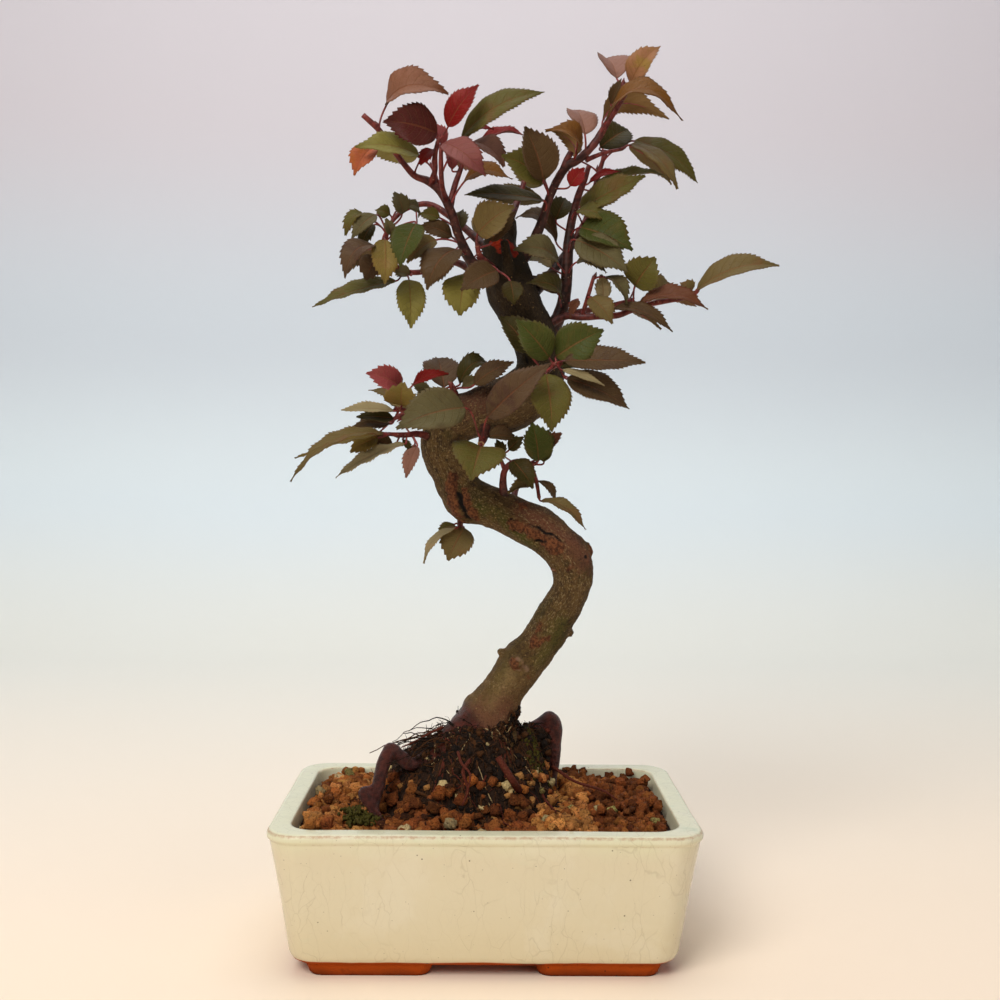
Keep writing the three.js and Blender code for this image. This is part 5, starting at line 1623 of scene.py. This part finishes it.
sink = nodes.plus(sink, nodes.times(veins["Net"], 0.3))
out_or_in = nodes.inverse(nodes.times(upper, 2.0))
relief = nodes.plus(nodes.times(sink, out_or_in), nodes.times(nodes.noise(place, 900.0), 0.5))
waxy = nodes.minus(0.68, nodes.times(upper, 0.22))
waxy = nodes.plus(waxy, nodes.times(clouded, 0.06))
finish(nodes, shader, Base_Color=colour, Roughness=waxy, Normal=nodes.bump(relief, 0.7, 0.0004))
shader.inputs["Specular IOR Level"].default_value = 0.15
print("leaf material:", len(apple_leaf.node_tree.nodes), "nodes")

# %% Finishes of young wood, leaf stalks and cut ends
young_wood, nodes, shader = new_material("young_wood")
place = nodes.place()
grain = nodes.noise(place, 420.0, 4.0)
old_tone = nodes.tones(nodes.step(grain, 0.38, 0.62), "26130f", "4a2820")
new_tone = nodes.tones(nodes.step(grain, 0.36, 0.64), "4e1716", "78322b")
colour = nodes.mix(nodes.read("youth"), old_tone, new_tone)
film = clouds(nodes, place, 150.0, 0.4)
colour = nodes.lay(colour, "4c3428", film, 0.25)
pore = specks(nodes, place, 620.0, 0.3)
colour = nodes.lay(colour, "a88a6c", pore, 0.55)
relief = nodes.plus(grain, nodes.times(pore, 0.8))
matt = nodes.plus(0.5, nodes.times(film, 0.15))
finish(nodes, shader, Base_Color=colour, Roughness=matt, Normal=nodes.bump(relief, 0.6, 0.0004))
shader.inputs["Specular IOR Level"].default_value = 0.3

leaf_stalk, nodes, shader = new_material("leaf_stalk")
place = nodes.place()
streaked = nodes.noise(place, 260.0, 3.0)
colour = nodes.tones(nodes.step(streaked, 0.38, 0.62), "581617", "8a302c")
greener = clouds(nodes, place, 60.0, 0.3)
colour = nodes.lay(colour, "6a4c28", greener, 0.4)
matt = nodes.plus(0.42, nodes.times(streaked, 0.15))
finish(nodes, shader, Base_Color=colour, Roughness=matt, Normal=nodes.bump(streaked, 0.3, 0.0002))

cut_wood, nodes, shader = new_material("cut_wood")
place = nodes.place()
colour = nodes.tones(nodes.step(nodes.noise(place, 1500.0, 3.0), 0.35, 0.65), "8a5c3c", "c09a74")
matt = nodes.plus(0.7, nodes.times(nodes.noise(place, 300.0), 0.2))
finish(nodes, shader, Base_Color=colour, Roughness=matt)
print("four finishes for the shoots")

# %% [markdown]
# ## One leafy shoot
#
# A shoot is its stems, and leaves whose stalks start from the nearest stem. The stalk is a bent
# tube that runs on under the blade as its midrib, thinner and thinner. Short buds sit where stalks
# leave the wood, and a pruned tip shows the pale cut.

# %% Build one shoot
YOUNG_WOOD, STALK, CUT = 1, 2, 3
STEM_STEPS, STEM_SIDES = 5, 12
STALK_BACK, STALK_STEPS, MIDRIB_STEPS, MIDRIB_END = 0.06, 9, 7, 0.9
STALK_SIDES, STALK_RADIUS, MIDRIB_RADIUS, MIDRIB_DEPTH = 6, 0.43, 0.45, 0.15
# a stem is red where its radius is below the first and brown above the second
RED_BELOW, BROWN_ABOVE = 1.2, 2.2
KNOBBLE, KNOBBLE_SIZE, BUD_YOUTH = 0.1, 2.2, 0.8


def stalk_root(base, stems):
    """The point of the nearest stem, a little towards its root, and the way that it grows there."""
    line, n = min(
        ((line, n) for line in stems for n in range(len(line))),
        key=lambda found: (found[0][found[1]] - base).length,
    )
    n = max(n - round(STALK_BACK * len(line)), 1)
    return line[n], (line[n] - line[n - 1]).normalized()


def stalk_line(root, growth, base, heading):
    """A curve that leaves the stem at a slant and runs into the blade."""
    gap = (base - root).length
    outward = (growth * 0.6 + (base - root) / max(gap, TINY)).normalized()
    first, second = root + outward * gap * 0.35, base - heading * gap * 0.3
    for n in range(STALK_STEPS):
        t = n / (STALK_STEPS - 1)
        start, end = root * (1 - t) ** 3, base * t ** 3
        yield start + first * 3 * t * (1 - t) ** 2 + second * 3 * t ** 2 * (1 - t) + end


def set_material(verts, number):
    for face in {face for vert in verts for face in vert.link_faces}:
        face.material_index = number


def add_leaf(bm, layers, row, stems, draw):
    """Adds a leaf with its stalk, its midrib and the bud at its foot."""
    base_spot, tip_spot, width, tilt, arch, stage = row
    base, tip = seen(base_spot), seen(tip_spot)
    blade = Blade(base, tip, tilt, arch, draw)
    add_blade(bm, layers, blade, width, stage_colours[stage], draw.random())
    root, growth = stalk_root(base, stems)
    line = list(stalk_line(root, growth, base, blade.heading(0)))
    radii = [0.8, 0.55] + [STALK_RADIUS] * (STALK_STEPS - 2)
    for n in range(1, MIDRIB_STEPS):
        s = MIDRIB_END * n / MIDRIB_STEPS
        line.append(blade.rib(s) - blade.side.cross(blade.heading(s)) * MIDRIB_DEPTH)
        radii.append(MIDRIB_RADIUS * (1 - s))
    set_material(tube(bm, line, radii, STALK_SIDES)[0], STALK)
    outward = line[2] - root
    bud = [root, root + growth * 1.3 + outward * 0.4, root + growth * 3 + outward * 0.5]
    bud_verts = tube(bm, bud, [0.8, 0.85, 0.12], STALK_SIDES)[0]
    set_material(bud_verts, YOUNG_WOOD)
    for vert in bud_verts:
        vert[layers["youth"]] = BUD_YOUTH


def build_shoot(name, stem_rows, leaf_rows, slot, seed):
    """Makes a whole shoot as one piece in place of its CAD node."""
    draw = random.Random(seed)
    bm = bmesh.new()
    made = bm.verts.layers
    layers = {"blade": made.float_vector.new("blade")}
    layers.update({key: made.float_color.new(key) for key in ("leaf_main", "leaf_blush")})
    layers.update({key: made.float.new(key) for key in ("upper", "youth")})
    stems = []
    for path, widths in stem_rows:
        line, radii = smooth_line([seen(spot) for spot in path], widths, STEM_STEPS)
        stems.append(line)
        swell = [1 + KNOBBLE * noise.noise(point / KNOBBLE_SIZE) for point in line]
        knobbly = [radius * share for radius, share in zip(radii, swell)]
        verts, end = tube(bm, line, knobbly, STEM_SIDES)
        set_material(verts, YOUNG_WOOD)
        end.material_index = CUT
        on_line = search_tree(line)
        for vert in verts:
            radius = radii[on_line.find(vert.co)[1]]
            vert[layers["youth"]] = 1 - ease(radius, RED_BELOW, BROWN_ABOVE)
    for row in leaf_rows:
        add_leaf(bm, layers, row, stems, draw)
    finishes = [apple_leaf, young_wood, leaf_stalk, cut_wood]
    finished(bm, name, finishes, slot, name.removeprefix("leafy_"))


print("shoot builder ready")

# %% [markdown]
# ## Shoots that the picture shows
#
# Under a shoot's name comes a row for each stem, with "column row depth width" at its places, and a
# row for each leaf: where its base and its tip are, and then its width in mm, its tilt in degrees,
# its arch in mm and its stage. A tilt of 0 turns the upper face to the front, 90 to the sky.

# %% Table of the shoots in front


def leaf(row):
    """One leaf's base, tip, width, tilt, arch and stage."""
    base, tip, form = row.split(",")
    *sizes, stage = form.split()
    return (numbers(base), numbers(tip), *map(float, sizes), stage)


def shoots(table, read_leaf):
    """The stems and the leaves of each shoot, by its name."""
    made = {}
    for block in table.strip().split("\n\n"):
        name, *lines = rows(block)
        stems = [limb(line.removeprefix("stem")) for line in lines if line.startswith("stem")]
        made[name] = stems, [read_leaf(line) for line in lines if not line.startswith("stem")]
    return made


SHOOTS = shoots("""
branch_left
stem 482 276 0 7, 469 258 -3 5, 459 236 -6 4, 450 209 -9 3.8, 439 190 -11 3.6, 428 181 -12 3.6,
415 176 -13 2.8, 404 164 -13 2.6, 389 144 -14 2.5, 379 130 -15 2.5, 363 115 -16 2.4
387 104 -15, 447 92 -24, 18 24 8 salmon
419 156 -17, 356 146 -26, 15 32 3 lime
372 148 -15, 354 174 -21, 13 10 2 orange
462 138 -15, 543 91 -24, 16 36 5 olive
464 182 -14, 511 178 -21, 12 36 5.2 amber
457 250 -13, 427 289 -22, 18 30 5 brown
436 240 -10, 407 262 -13, 12 25 2 khaki
460 230 2, 462 210 4, 9 20 2 grey
440 218 -4, 420 214 -2, 7 20 1 olive
452 237 -2, 420 226 -4, 10 25 2 brown

red_shoot_left
stem 431 184 -12 3, 435 170 -17 2.4, 435 155 -19 2.2, 438 141 -20 2
437 134 -20, 384 121 -27, 19 10 3 maroon
448 127 -22, 478 85 -28, 13 22 2 red
433 150 -18, 420 164 -20, 7 20 1 red

red_shoot_inner
stem 450 206 -8 3.4, 455 185 -6 2.6, 462 165 -5 2.2, 465 150 -4 2
462 141 -6, 493 128 -8, 7 40 3 red
480 141 -3, 530 138 0, 8 51 3.5 red
444 146 -2, 428 128 4, 9 30 2 rose
473 142 -7, 504 166 -9, 13 35 3 taupe
452 170 -2, 450 148 2, 6 20 1 rose

pink_shoot
stem 446 200 -10 3, 442 185 -24 2.2, 441 165 -29 2, 441 149 -31 1.8
443 144 -31, 485 176 -38, 14 20 4 pink

branch_centre
stem 516 268 4 6, 530 248 2 5, 541 224 0 4.2, 549 199 -3 3.8, 558 179 -5 3.8, 568 165 -6 4,
578 160 -6 3.8, 594 144 -7 3.4, 610 118 -8 3, 631 85 -9 2.8, 643 73 -9 2.6
stem 564 168 -6 3.4, 567 160 -6 3, 571 152 -6 2.8
stem 612 114 -8 2.4, 619 100 -10 2.4, 624 82 -11 2.2
stem 586 160 -6 2.4, 604 153 -3 1.8, 622 149 0 1.6
543 179 -9, 503 155 -18, 17 15 2 olive
543 180 -11, 525 127 -19, 19 18 2 brown
576 154 -10, 547 130 -17, 11 36 7.8 amber
617 79 -12, 604 58 6, 16 20 2 taupe
631 84 -11, 659 46 -17, 14 25 3 peach
611 104 -12, 621 79 -16, 5 20 1 brown
606 122 -12, 681 117 -22, 16 48 14 amber
585 135 -10, 575 110 6, 15 20 2 taupe
600 148 2, 628 130 12, 17 10 2 dark
631 145 -2, 678 187 -10, 12 44 4 khaki
634 141 4, 698 181 8, 14 41 3.7 olive
544 201 -7, 465 194 -16, 14 46 1.2 dark
570 186 -10, 584 168 -12, 8 10 1 scarlet

branch_right
stem 541 345 4 8, 553 328 5 7, 562 308 6 6, 566 285 6 5.6, 568 250 6 5, 571 224 5 4, 578 197 4 3.4,
584 181 3 2.8, 589 166 3 2.2
580 210 0, 645 176 -8, 15 35 1 olive
592 190 8, 666 174 14, 9 41 3.7 olive
589 183 2, 619 171 2, 5 40 2 scarlet
556 220 6, 566 199 10, 11 10 2 dark
576 212 -2, 609 222 -7, 9 35 3 olive
581 228 -3, 632 250 -12, 21 20 2 green
576 240 -8, 627 271 -18, 18 20 2 grey
557 262 -4, 514 250 -14, 15 35 5 grey
556 242 10, 516 218 14, 13 41 7.5 brown
560 299 -3, 527 283 -14, 12 36 5.2 dark
558 294 10, 532 277 17, 14 25 2 brown
552 268 10, 527 259 13, 6 40 2 pale
577 262 -4, 606 272 -9, 12 40 3 grey
578 300 0, 570 318 -6, 5 20 1 rust

branch_low_right
stem 548 326 0 4, 566 316 -3 3.4, 580 317 -6 3.2, 604 316 -8 3, 619 315 -9 2.8, 634 309 -10 2.6,
655 303 -11 2.4, 678 299 -12 2.2, 693 295 -13 2, 698 290 -14 1.8
stem 582 317 -6 2.2, 589 293 -12 1.8, 594 276 -14 1.5
605 277 -13, 626 304 -17, 9 45 3 grey
590 298 -15, 612 323 -21, 12 20 2 khaki
603 300 -8, 601 275 -9, 8 15 1 pale
635 286 -11, 655 258 -17, 17 10 2 olive
649 297 -4, 671 283 4, 12 20 2 khaki
640 304 -13, 707 308 -20, 11 52 5 rust
613 309 -12, 672 331 -23, 10 51 3.5 brown
697 290 -14, 778 264 -22, 15 42 5 khaki
690 293 -12, 681 283 -12, 8 20 1 khaki

branch_far_left
stem 484 284 6 5, 468 268 10 3.6, 451 262 13 3, 432 270 12 2.6, 408 272 8 2.4, 394 264 3 2.2,
386 246 -2 2, 388 226 -4 1.8
402 214 -2, 394 193 -4, 9 30 2 grey
404 206 2, 418 216 8, 7 46 3.6 grey
367 217 -4, 346 234 -9, 8 45 4 olive
376 215 -7, 352 238 -12, 9 20 2 grey
376 247 -9, 345 277 -15, 13 36 6.5 mauve
378 258 -2, 366 279 -3, 13 10 2 mauve
374 225 1, 362 246 0, 9 20 2 dark
385 240 -9, 385 283 -17, 13 10 2 gold
396 281 2, 313 307 -8, 13 46 1.2 olive
409 280 0, 411 328 -7, 14.5 10 2 lime
416 224 -14, 400 266 -24, 15 15 2 green
390 215 1, 376 210 1, 7 20 1 olive
410 275 4, 394 271 5, 7 20 1 grey
391 235 -7, 386 219 -9, 6 20 1 grey

spur_centre
stem 496 272 0 5, 488 264 -12 3.4, 480 256 -16 2.6, 477 246 -18 2
478 234 -19, 513 206 -27, 17 20 2 khaki
492 242 -14, 515 213 -15, 12 30 2 brown
497 271 -19, 461 290 -28, 14 15 2 brown
510 281 -17, 514 304 -21, 10 10 1 dark
466 276 -15, 460 315 -18, 19 12 2 lime

spur_right
stem 536 378 -4 6, 545 371 -15 4, 552 366 -24 3, 557 364 -26 2.4
528 352 -15, 500 316 -17, 17 25 2 dark
549 358 -26, 517 320 -32, 16 10 2 green
556 357 -25, 603 330 -30, 19 15 2 green
563 361 -30, 645 362 -38, 14 35 0.5 brown
560 366 -21, 593 366 -21, 11 40 2 olive
546 374 -30, 552 431 -37, 19 10 2 olive
562 370 -31, 604 385 -38, 4 30 1 pale
567 379 -24, 629 408 -31, 17 32 2 brown

spur_front
stem 486 420 -4 6, 484 436 -14 4, 481 444 -19 3
488 417 -25, 550 363 -44, 16 15 3 mauve
465 408 -27, 397 427 -38, 21 25 3 grey
481 447 -21, 471 480 -42, 25 5 3 olive
487 437 -12, 517 440 -8, 9 35 2 brown

spur_top
stem 462 412 0 5, 455 394 -1 3.4, 450 382 -2 2.4
444 388 -3, 437 358 12, 18 15 2 mauve
460 384 0, 494 368 4, 11 46 7.2 dark
462 387 -6, 482 378 -10, 6 20 1 grey
474 385 -14, 513 362 -16, 10 30 2 brown

red_shoot_low
stem 440 412 2 4, 424 406 -4 3, 410 400 -10 2.4, 406 394 -12 2
400 387 -13, 367 373 -19, 12 20 3 rose
413 385 -12, 448 374 -16, 6 30 3 red
431 396 -6, 412 384 -10, 7 30 1 grey

shoot_left
stem 440 426 0 5, 420 417 -8 3, 405 411 -16 2.4, 399 409 -18 2
402 405 -20, 403 383 -24, 15 10 2 ochre
394 411 -20, 342 409 -28, 7 46 0.6 pale
412 402 0, 369 389 4, 7 46 1.2 khaki
394 419 -18, 357 417 -21, 9 36 0.7 dark
390 424 -15, 353 426 -18, 7 40 1 brown

shoot_low_left
stem 436 440 0 5, 419 434 -8 3, 404 435 -14 2.4, 389 434 -18 1.8
385 433 -18, 295 456 -32, 5 55 1 ochre
384 434 -23, 290 478 -38, 8 46 8.4 khaki
378 438 -16, 351 452 -18, 9 20 2 ochre
393 447 -13, 367 440 -12, 8 25 2 brown
405 444 -15, 336 477 -26, 8 50 2 pale
417 447 -15, 406 477 -20, 8 15 2 taupe
403 440 -13, 411 452 -14, 4 20 1 dark

shoot_low_right
stem 505 500 -2 5, 503 484 -6 3.4, 505 470 -7 2.8, 514 462 -8 2.4, 532 464 -8 2
stem 530 464 -8 2.2, 536 480 -8 1.8, 539 497 -10 1.6
stem 505 470 -7 2.2, 500 458 -8 1.6
538 461 -8, 532 423 -8, 15 15 2 green
544 462 -5, 549 430 -2, 11 20 2 green
513 461 -12, 533 488 -18, 12 15 2 dark
538 481 -8, 555 502 -8, 5 45 3 brown
531 484 -8, 508 493 -11, 7 40 1 khaki
541 501 -11, 585 529 -17, 8 41 5 khaki
500 455 -8, 497 440 -9, 6 20 1 dark
509 450 -9, 523 437 -11, 7 20 1 dark
547 448 -4, 561 433 -5, 7 20 1 rust

shoot_under
stem 462 500 4 5, 461 516 11 3.4, 460 526 13 2.6
464 528 12, 448 560 6, 17 10 2 khaki
456 528 8, 423 562 4, 5 55 4 pale
455 524 16, 441 538 22, 9 20 1 olive
""", leaf)

# %% Build the shoots in front
for seed, (name, (stem_rows, leaf_rows)) in enumerate(SHOOTS.items()):
    slot = "red_leaf" if name.startswith(("red", "pink")) else "leaf"
    build_shoot(f"leafy_{name}", stem_rows, leaf_rows, slot, seed)

# %% [markdown]
# ## The far side
#
# A picture hides the back of the crown, but the tree has one. Its stems are listed one by one. Each
# leaf there is like one in front, named by its shoot and by its number from 0. It lies as far
# behind, is turned to face back, is a little smaller and is moved by a fixed draw.

# %% Table of the shoots behind
FAR_SHOOTS = shoots("""
far_left
stem 500 262 8 5, 478 240 22 3.8, 452 218 29 3.2, 428 204 32 2.8, 404 210 32 2.4, 388 226 30 1.8
stem 452 218 29 2.8, 440 190 32 2.2, 432 165 34 1.8
branch_left 5
branch_left 1
red_shoot_left 0
pink_shoot 0
spur_centre 0
branch_far_left 10
branch_far_left 7
branch_far_left 4
spur_centre 4

far_top
stem 508 222 8 4, 518 200 20 3, 526 176 26 2.2
branch_centre 0
branch_centre 1
branch_centre 11

far_right
stem 528 300 8 5.4, 550 275 22 4.4, 572 245 28 3.8, 588 215 30 3, 597 180 30 2.6, 606 150 28 2
branch_right 5
branch_right 6
branch_right 0
branch_centre 9
branch_centre 6
branch_centre 2
branch_right 7

far_low_right
stem 536 334 8 4.4, 565 316 20 3.4, 600 308 25 2.6, 634 300 28 2
branch_low_right 6
branch_low_right 5
branch_low_right 3
branch_low_right 1

far_whorl
stem 524 372 6 5, 544 368 22 3.6, 554 364 32 2.4
spur_right 2
spur_right 3
spur_right 5
spur_right 7
spur_right 0

far_bend
stem 462 414 6 5, 440 406 20 3.6, 415 408 27 2.8, 392 420 30 2
spur_front 1
shoot_left 0
red_shoot_low 0
shoot_left 3
shoot_low_left 2
shoot_low_left 5

far_low
stem 512 508 4 4, 516 488 17 3, 524 470 21 2.2
shoot_low_right 0
shoot_low_right 2
spur_front 2
""", str.split)

# %% Build the shoots behind
FAR_DEPTH, FAR_SIZE, FAR_JITTER, FAR_SEED = 18, 0.86, 7, 100
DRAW_FACTOR, DRAW_SIZE = 16807, 2147483647
far_state = 5


def far_jitter():
    """The next step of the fixed draw that moves the leaves behind."""
    global far_state
    far_state = far_state * DRAW_FACTOR % DRAW_SIZE
    return (far_state / DRAW_SIZE - 0.5) * FAR_JITTER


def far_leaf(row):
    """The leaf behind that answers a leaf in front."""
    base, tip, width, tilt, arch, stage = row
    start, end = (
        [column + far_jitter(), row + far_jitter(), FAR_DEPTH - depth + far_jitter()]
        for column, row, depth in (base, tip)
    )
    end = [a + (b - a) * FAR_SIZE for a, b in zip(start, end)]
    return start, end, width * FAR_SIZE, 180 - tilt, arch, stage


for seed, (name, (stem_rows, models)) in enumerate(FAR_SHOOTS.items()):
    leaf_rows = [far_leaf(SHOOTS[front][1][int(number)]) for front, number in models]
    build_shoot(f"leafy_{name}", stem_rows, leaf_rows, "leaf", FAR_SEED + seed)

# %% [markdown]
# ## Floor, backdrop and light
#
# The plant stands on a pale sheet that sweeps up behind it without a crease, as in a studio. The
# sheet is a strip whose edge is extruded step by step: straight along the floor, round a quarter
# circle, and up. Its colour holds painted light: warm cream at the front of the floor, then pale
# blue and a soft grey higher up the sweep. Large soft lights keep the shadows faint.

# %% Sweep
FLOOR_FRONT, BEND_START, BEND_RADIUS, BEND_STEPS = -1.6, 0.75, 0.35, 16
SWEEP_WIDTH, SWEEP_TOP = 6.0, 2.6
bm = bmesh.new()
ends = [bm.verts.new((side * SWEEP_WIDTH / 2, FLOOR_FRONT, 0)) for side in (-1, 1)]
edge = bm.edges.new(ends)
steps = [(BEND_START, 0.0)]
for n in range(1, BEND_STEPS + 1):
    turn = math.pi / 2 * n / BEND_STEPS
    steps.append((BEND_START + BEND_RADIUS * math.sin(turn), BEND_RADIUS * (1 - math.cos(turn))))
steps.append((BEND_START + BEND_RADIUS, SWEEP_TOP))
for y, z in steps:
    made = bmesh.ops.extrude_edge_only(bm, edges=[edge])["geom"]
    edge = next(item for item in made if isinstance(item, bmesh.types.BMEdge))
    for vert in edge.verts:
        vert.co.y, vert.co.z = y, z
bmesh.ops.recalc_face_normals(bm, faces=bm.faces)
sweep = new_object("sweep", as_mesh(bm, "sweep"))
sweep.data.polygons.foreach_set("use_smooth", [True] * len(sweep.data.polygons))

studio_paper, nodes, shader = new_material("studio_paper")
place = nodes.place()
height, depth = nodes.part(place, 2), nodes.part(place, 1)
# painted light: the paper's tone changes from front to back and with height, warm low down and cool
# higher up
rise = nodes.plus(height, nodes.times(nodes.noise(place, 1.4, 2.0), 0.06))
colour = nodes.tones(nodes.step(depth, -0.4, 0.9), "fbe3c8", "f5f5ec")
colour = nodes.lay(colour, "e9f4fa", nodes.step(rise, 0.0, 0.2))
colour = nodes.lay(colour, "dbe4ee", nodes.step(rise, 0.2, 0.42))
colour = nodes.lay(colour, "dedae2", nodes.step(rise, 0.42, 0.72))
finish(nodes, shader, Base_Color=colour)
shader.inputs["Roughness"].default_value = 0.95
shader.inputs["Specular IOR Level"].default_value = 0.1
sweep.data.materials.append(studio_paper)
sweep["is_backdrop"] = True
print("sweep:", len(sweep.data.polygons), "faces")

# %% Lights


def soft_light(name, place, aim, size, power, tint):
    """A large square light that points at a place."""
    data = bpy.data.lights.new(name, "AREA")
    data.size, data.energy, data.color = size, power, tint
    light = new_object(name, data)
    light.location = place
    light.rotation_euler = (Vector(aim) - Vector(place)).to_track_quat("-Z", "Y").to_euler()


soft_light("key", (-0.6, -1.05, 1.2), (0, 0, 0.2), 0.8, 18.5, (1, 0.965, 0.92))
soft_light("fill", (1.2, -1.2, 0.5), (0, 0, 0.2), 1.2, 4, (1, 0.98, 0.96))
soft_light("overhead", (0, 0.1, 1.7), (0, 0.05, 0), 1.2, 5, (1, 1, 1))
soft_light("backdrop glow", (0, 0.25, 1.9), (0, 1.1, 0.5), 1.6, 10, (1, 1, 1))
world = bpy.data.worlds.new("studio")
world.use_nodes = True
air = world.node_tree.nodes["Background"]
air.inputs["Color"].default_value = paint("f2f3f5")
air.inputs["Strength"].default_value = 0.14
bpy.context.scene.world = world

# %% [markdown]
# ## Size
#
# The finished plant has to fill the same box as the CAD model, so both boxes are computed, and the
# visual one is printed.

# %% Compute both boxes
visual_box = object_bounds()
boxes = {"cad": cad_box, "visual": visual_box}
boxes = {name: [list(corner) for corner in box] for name, box in boxes.items()}
print("visual box:", [round(v, 4) for v in (*visual_box[0], *visual_box[1])])
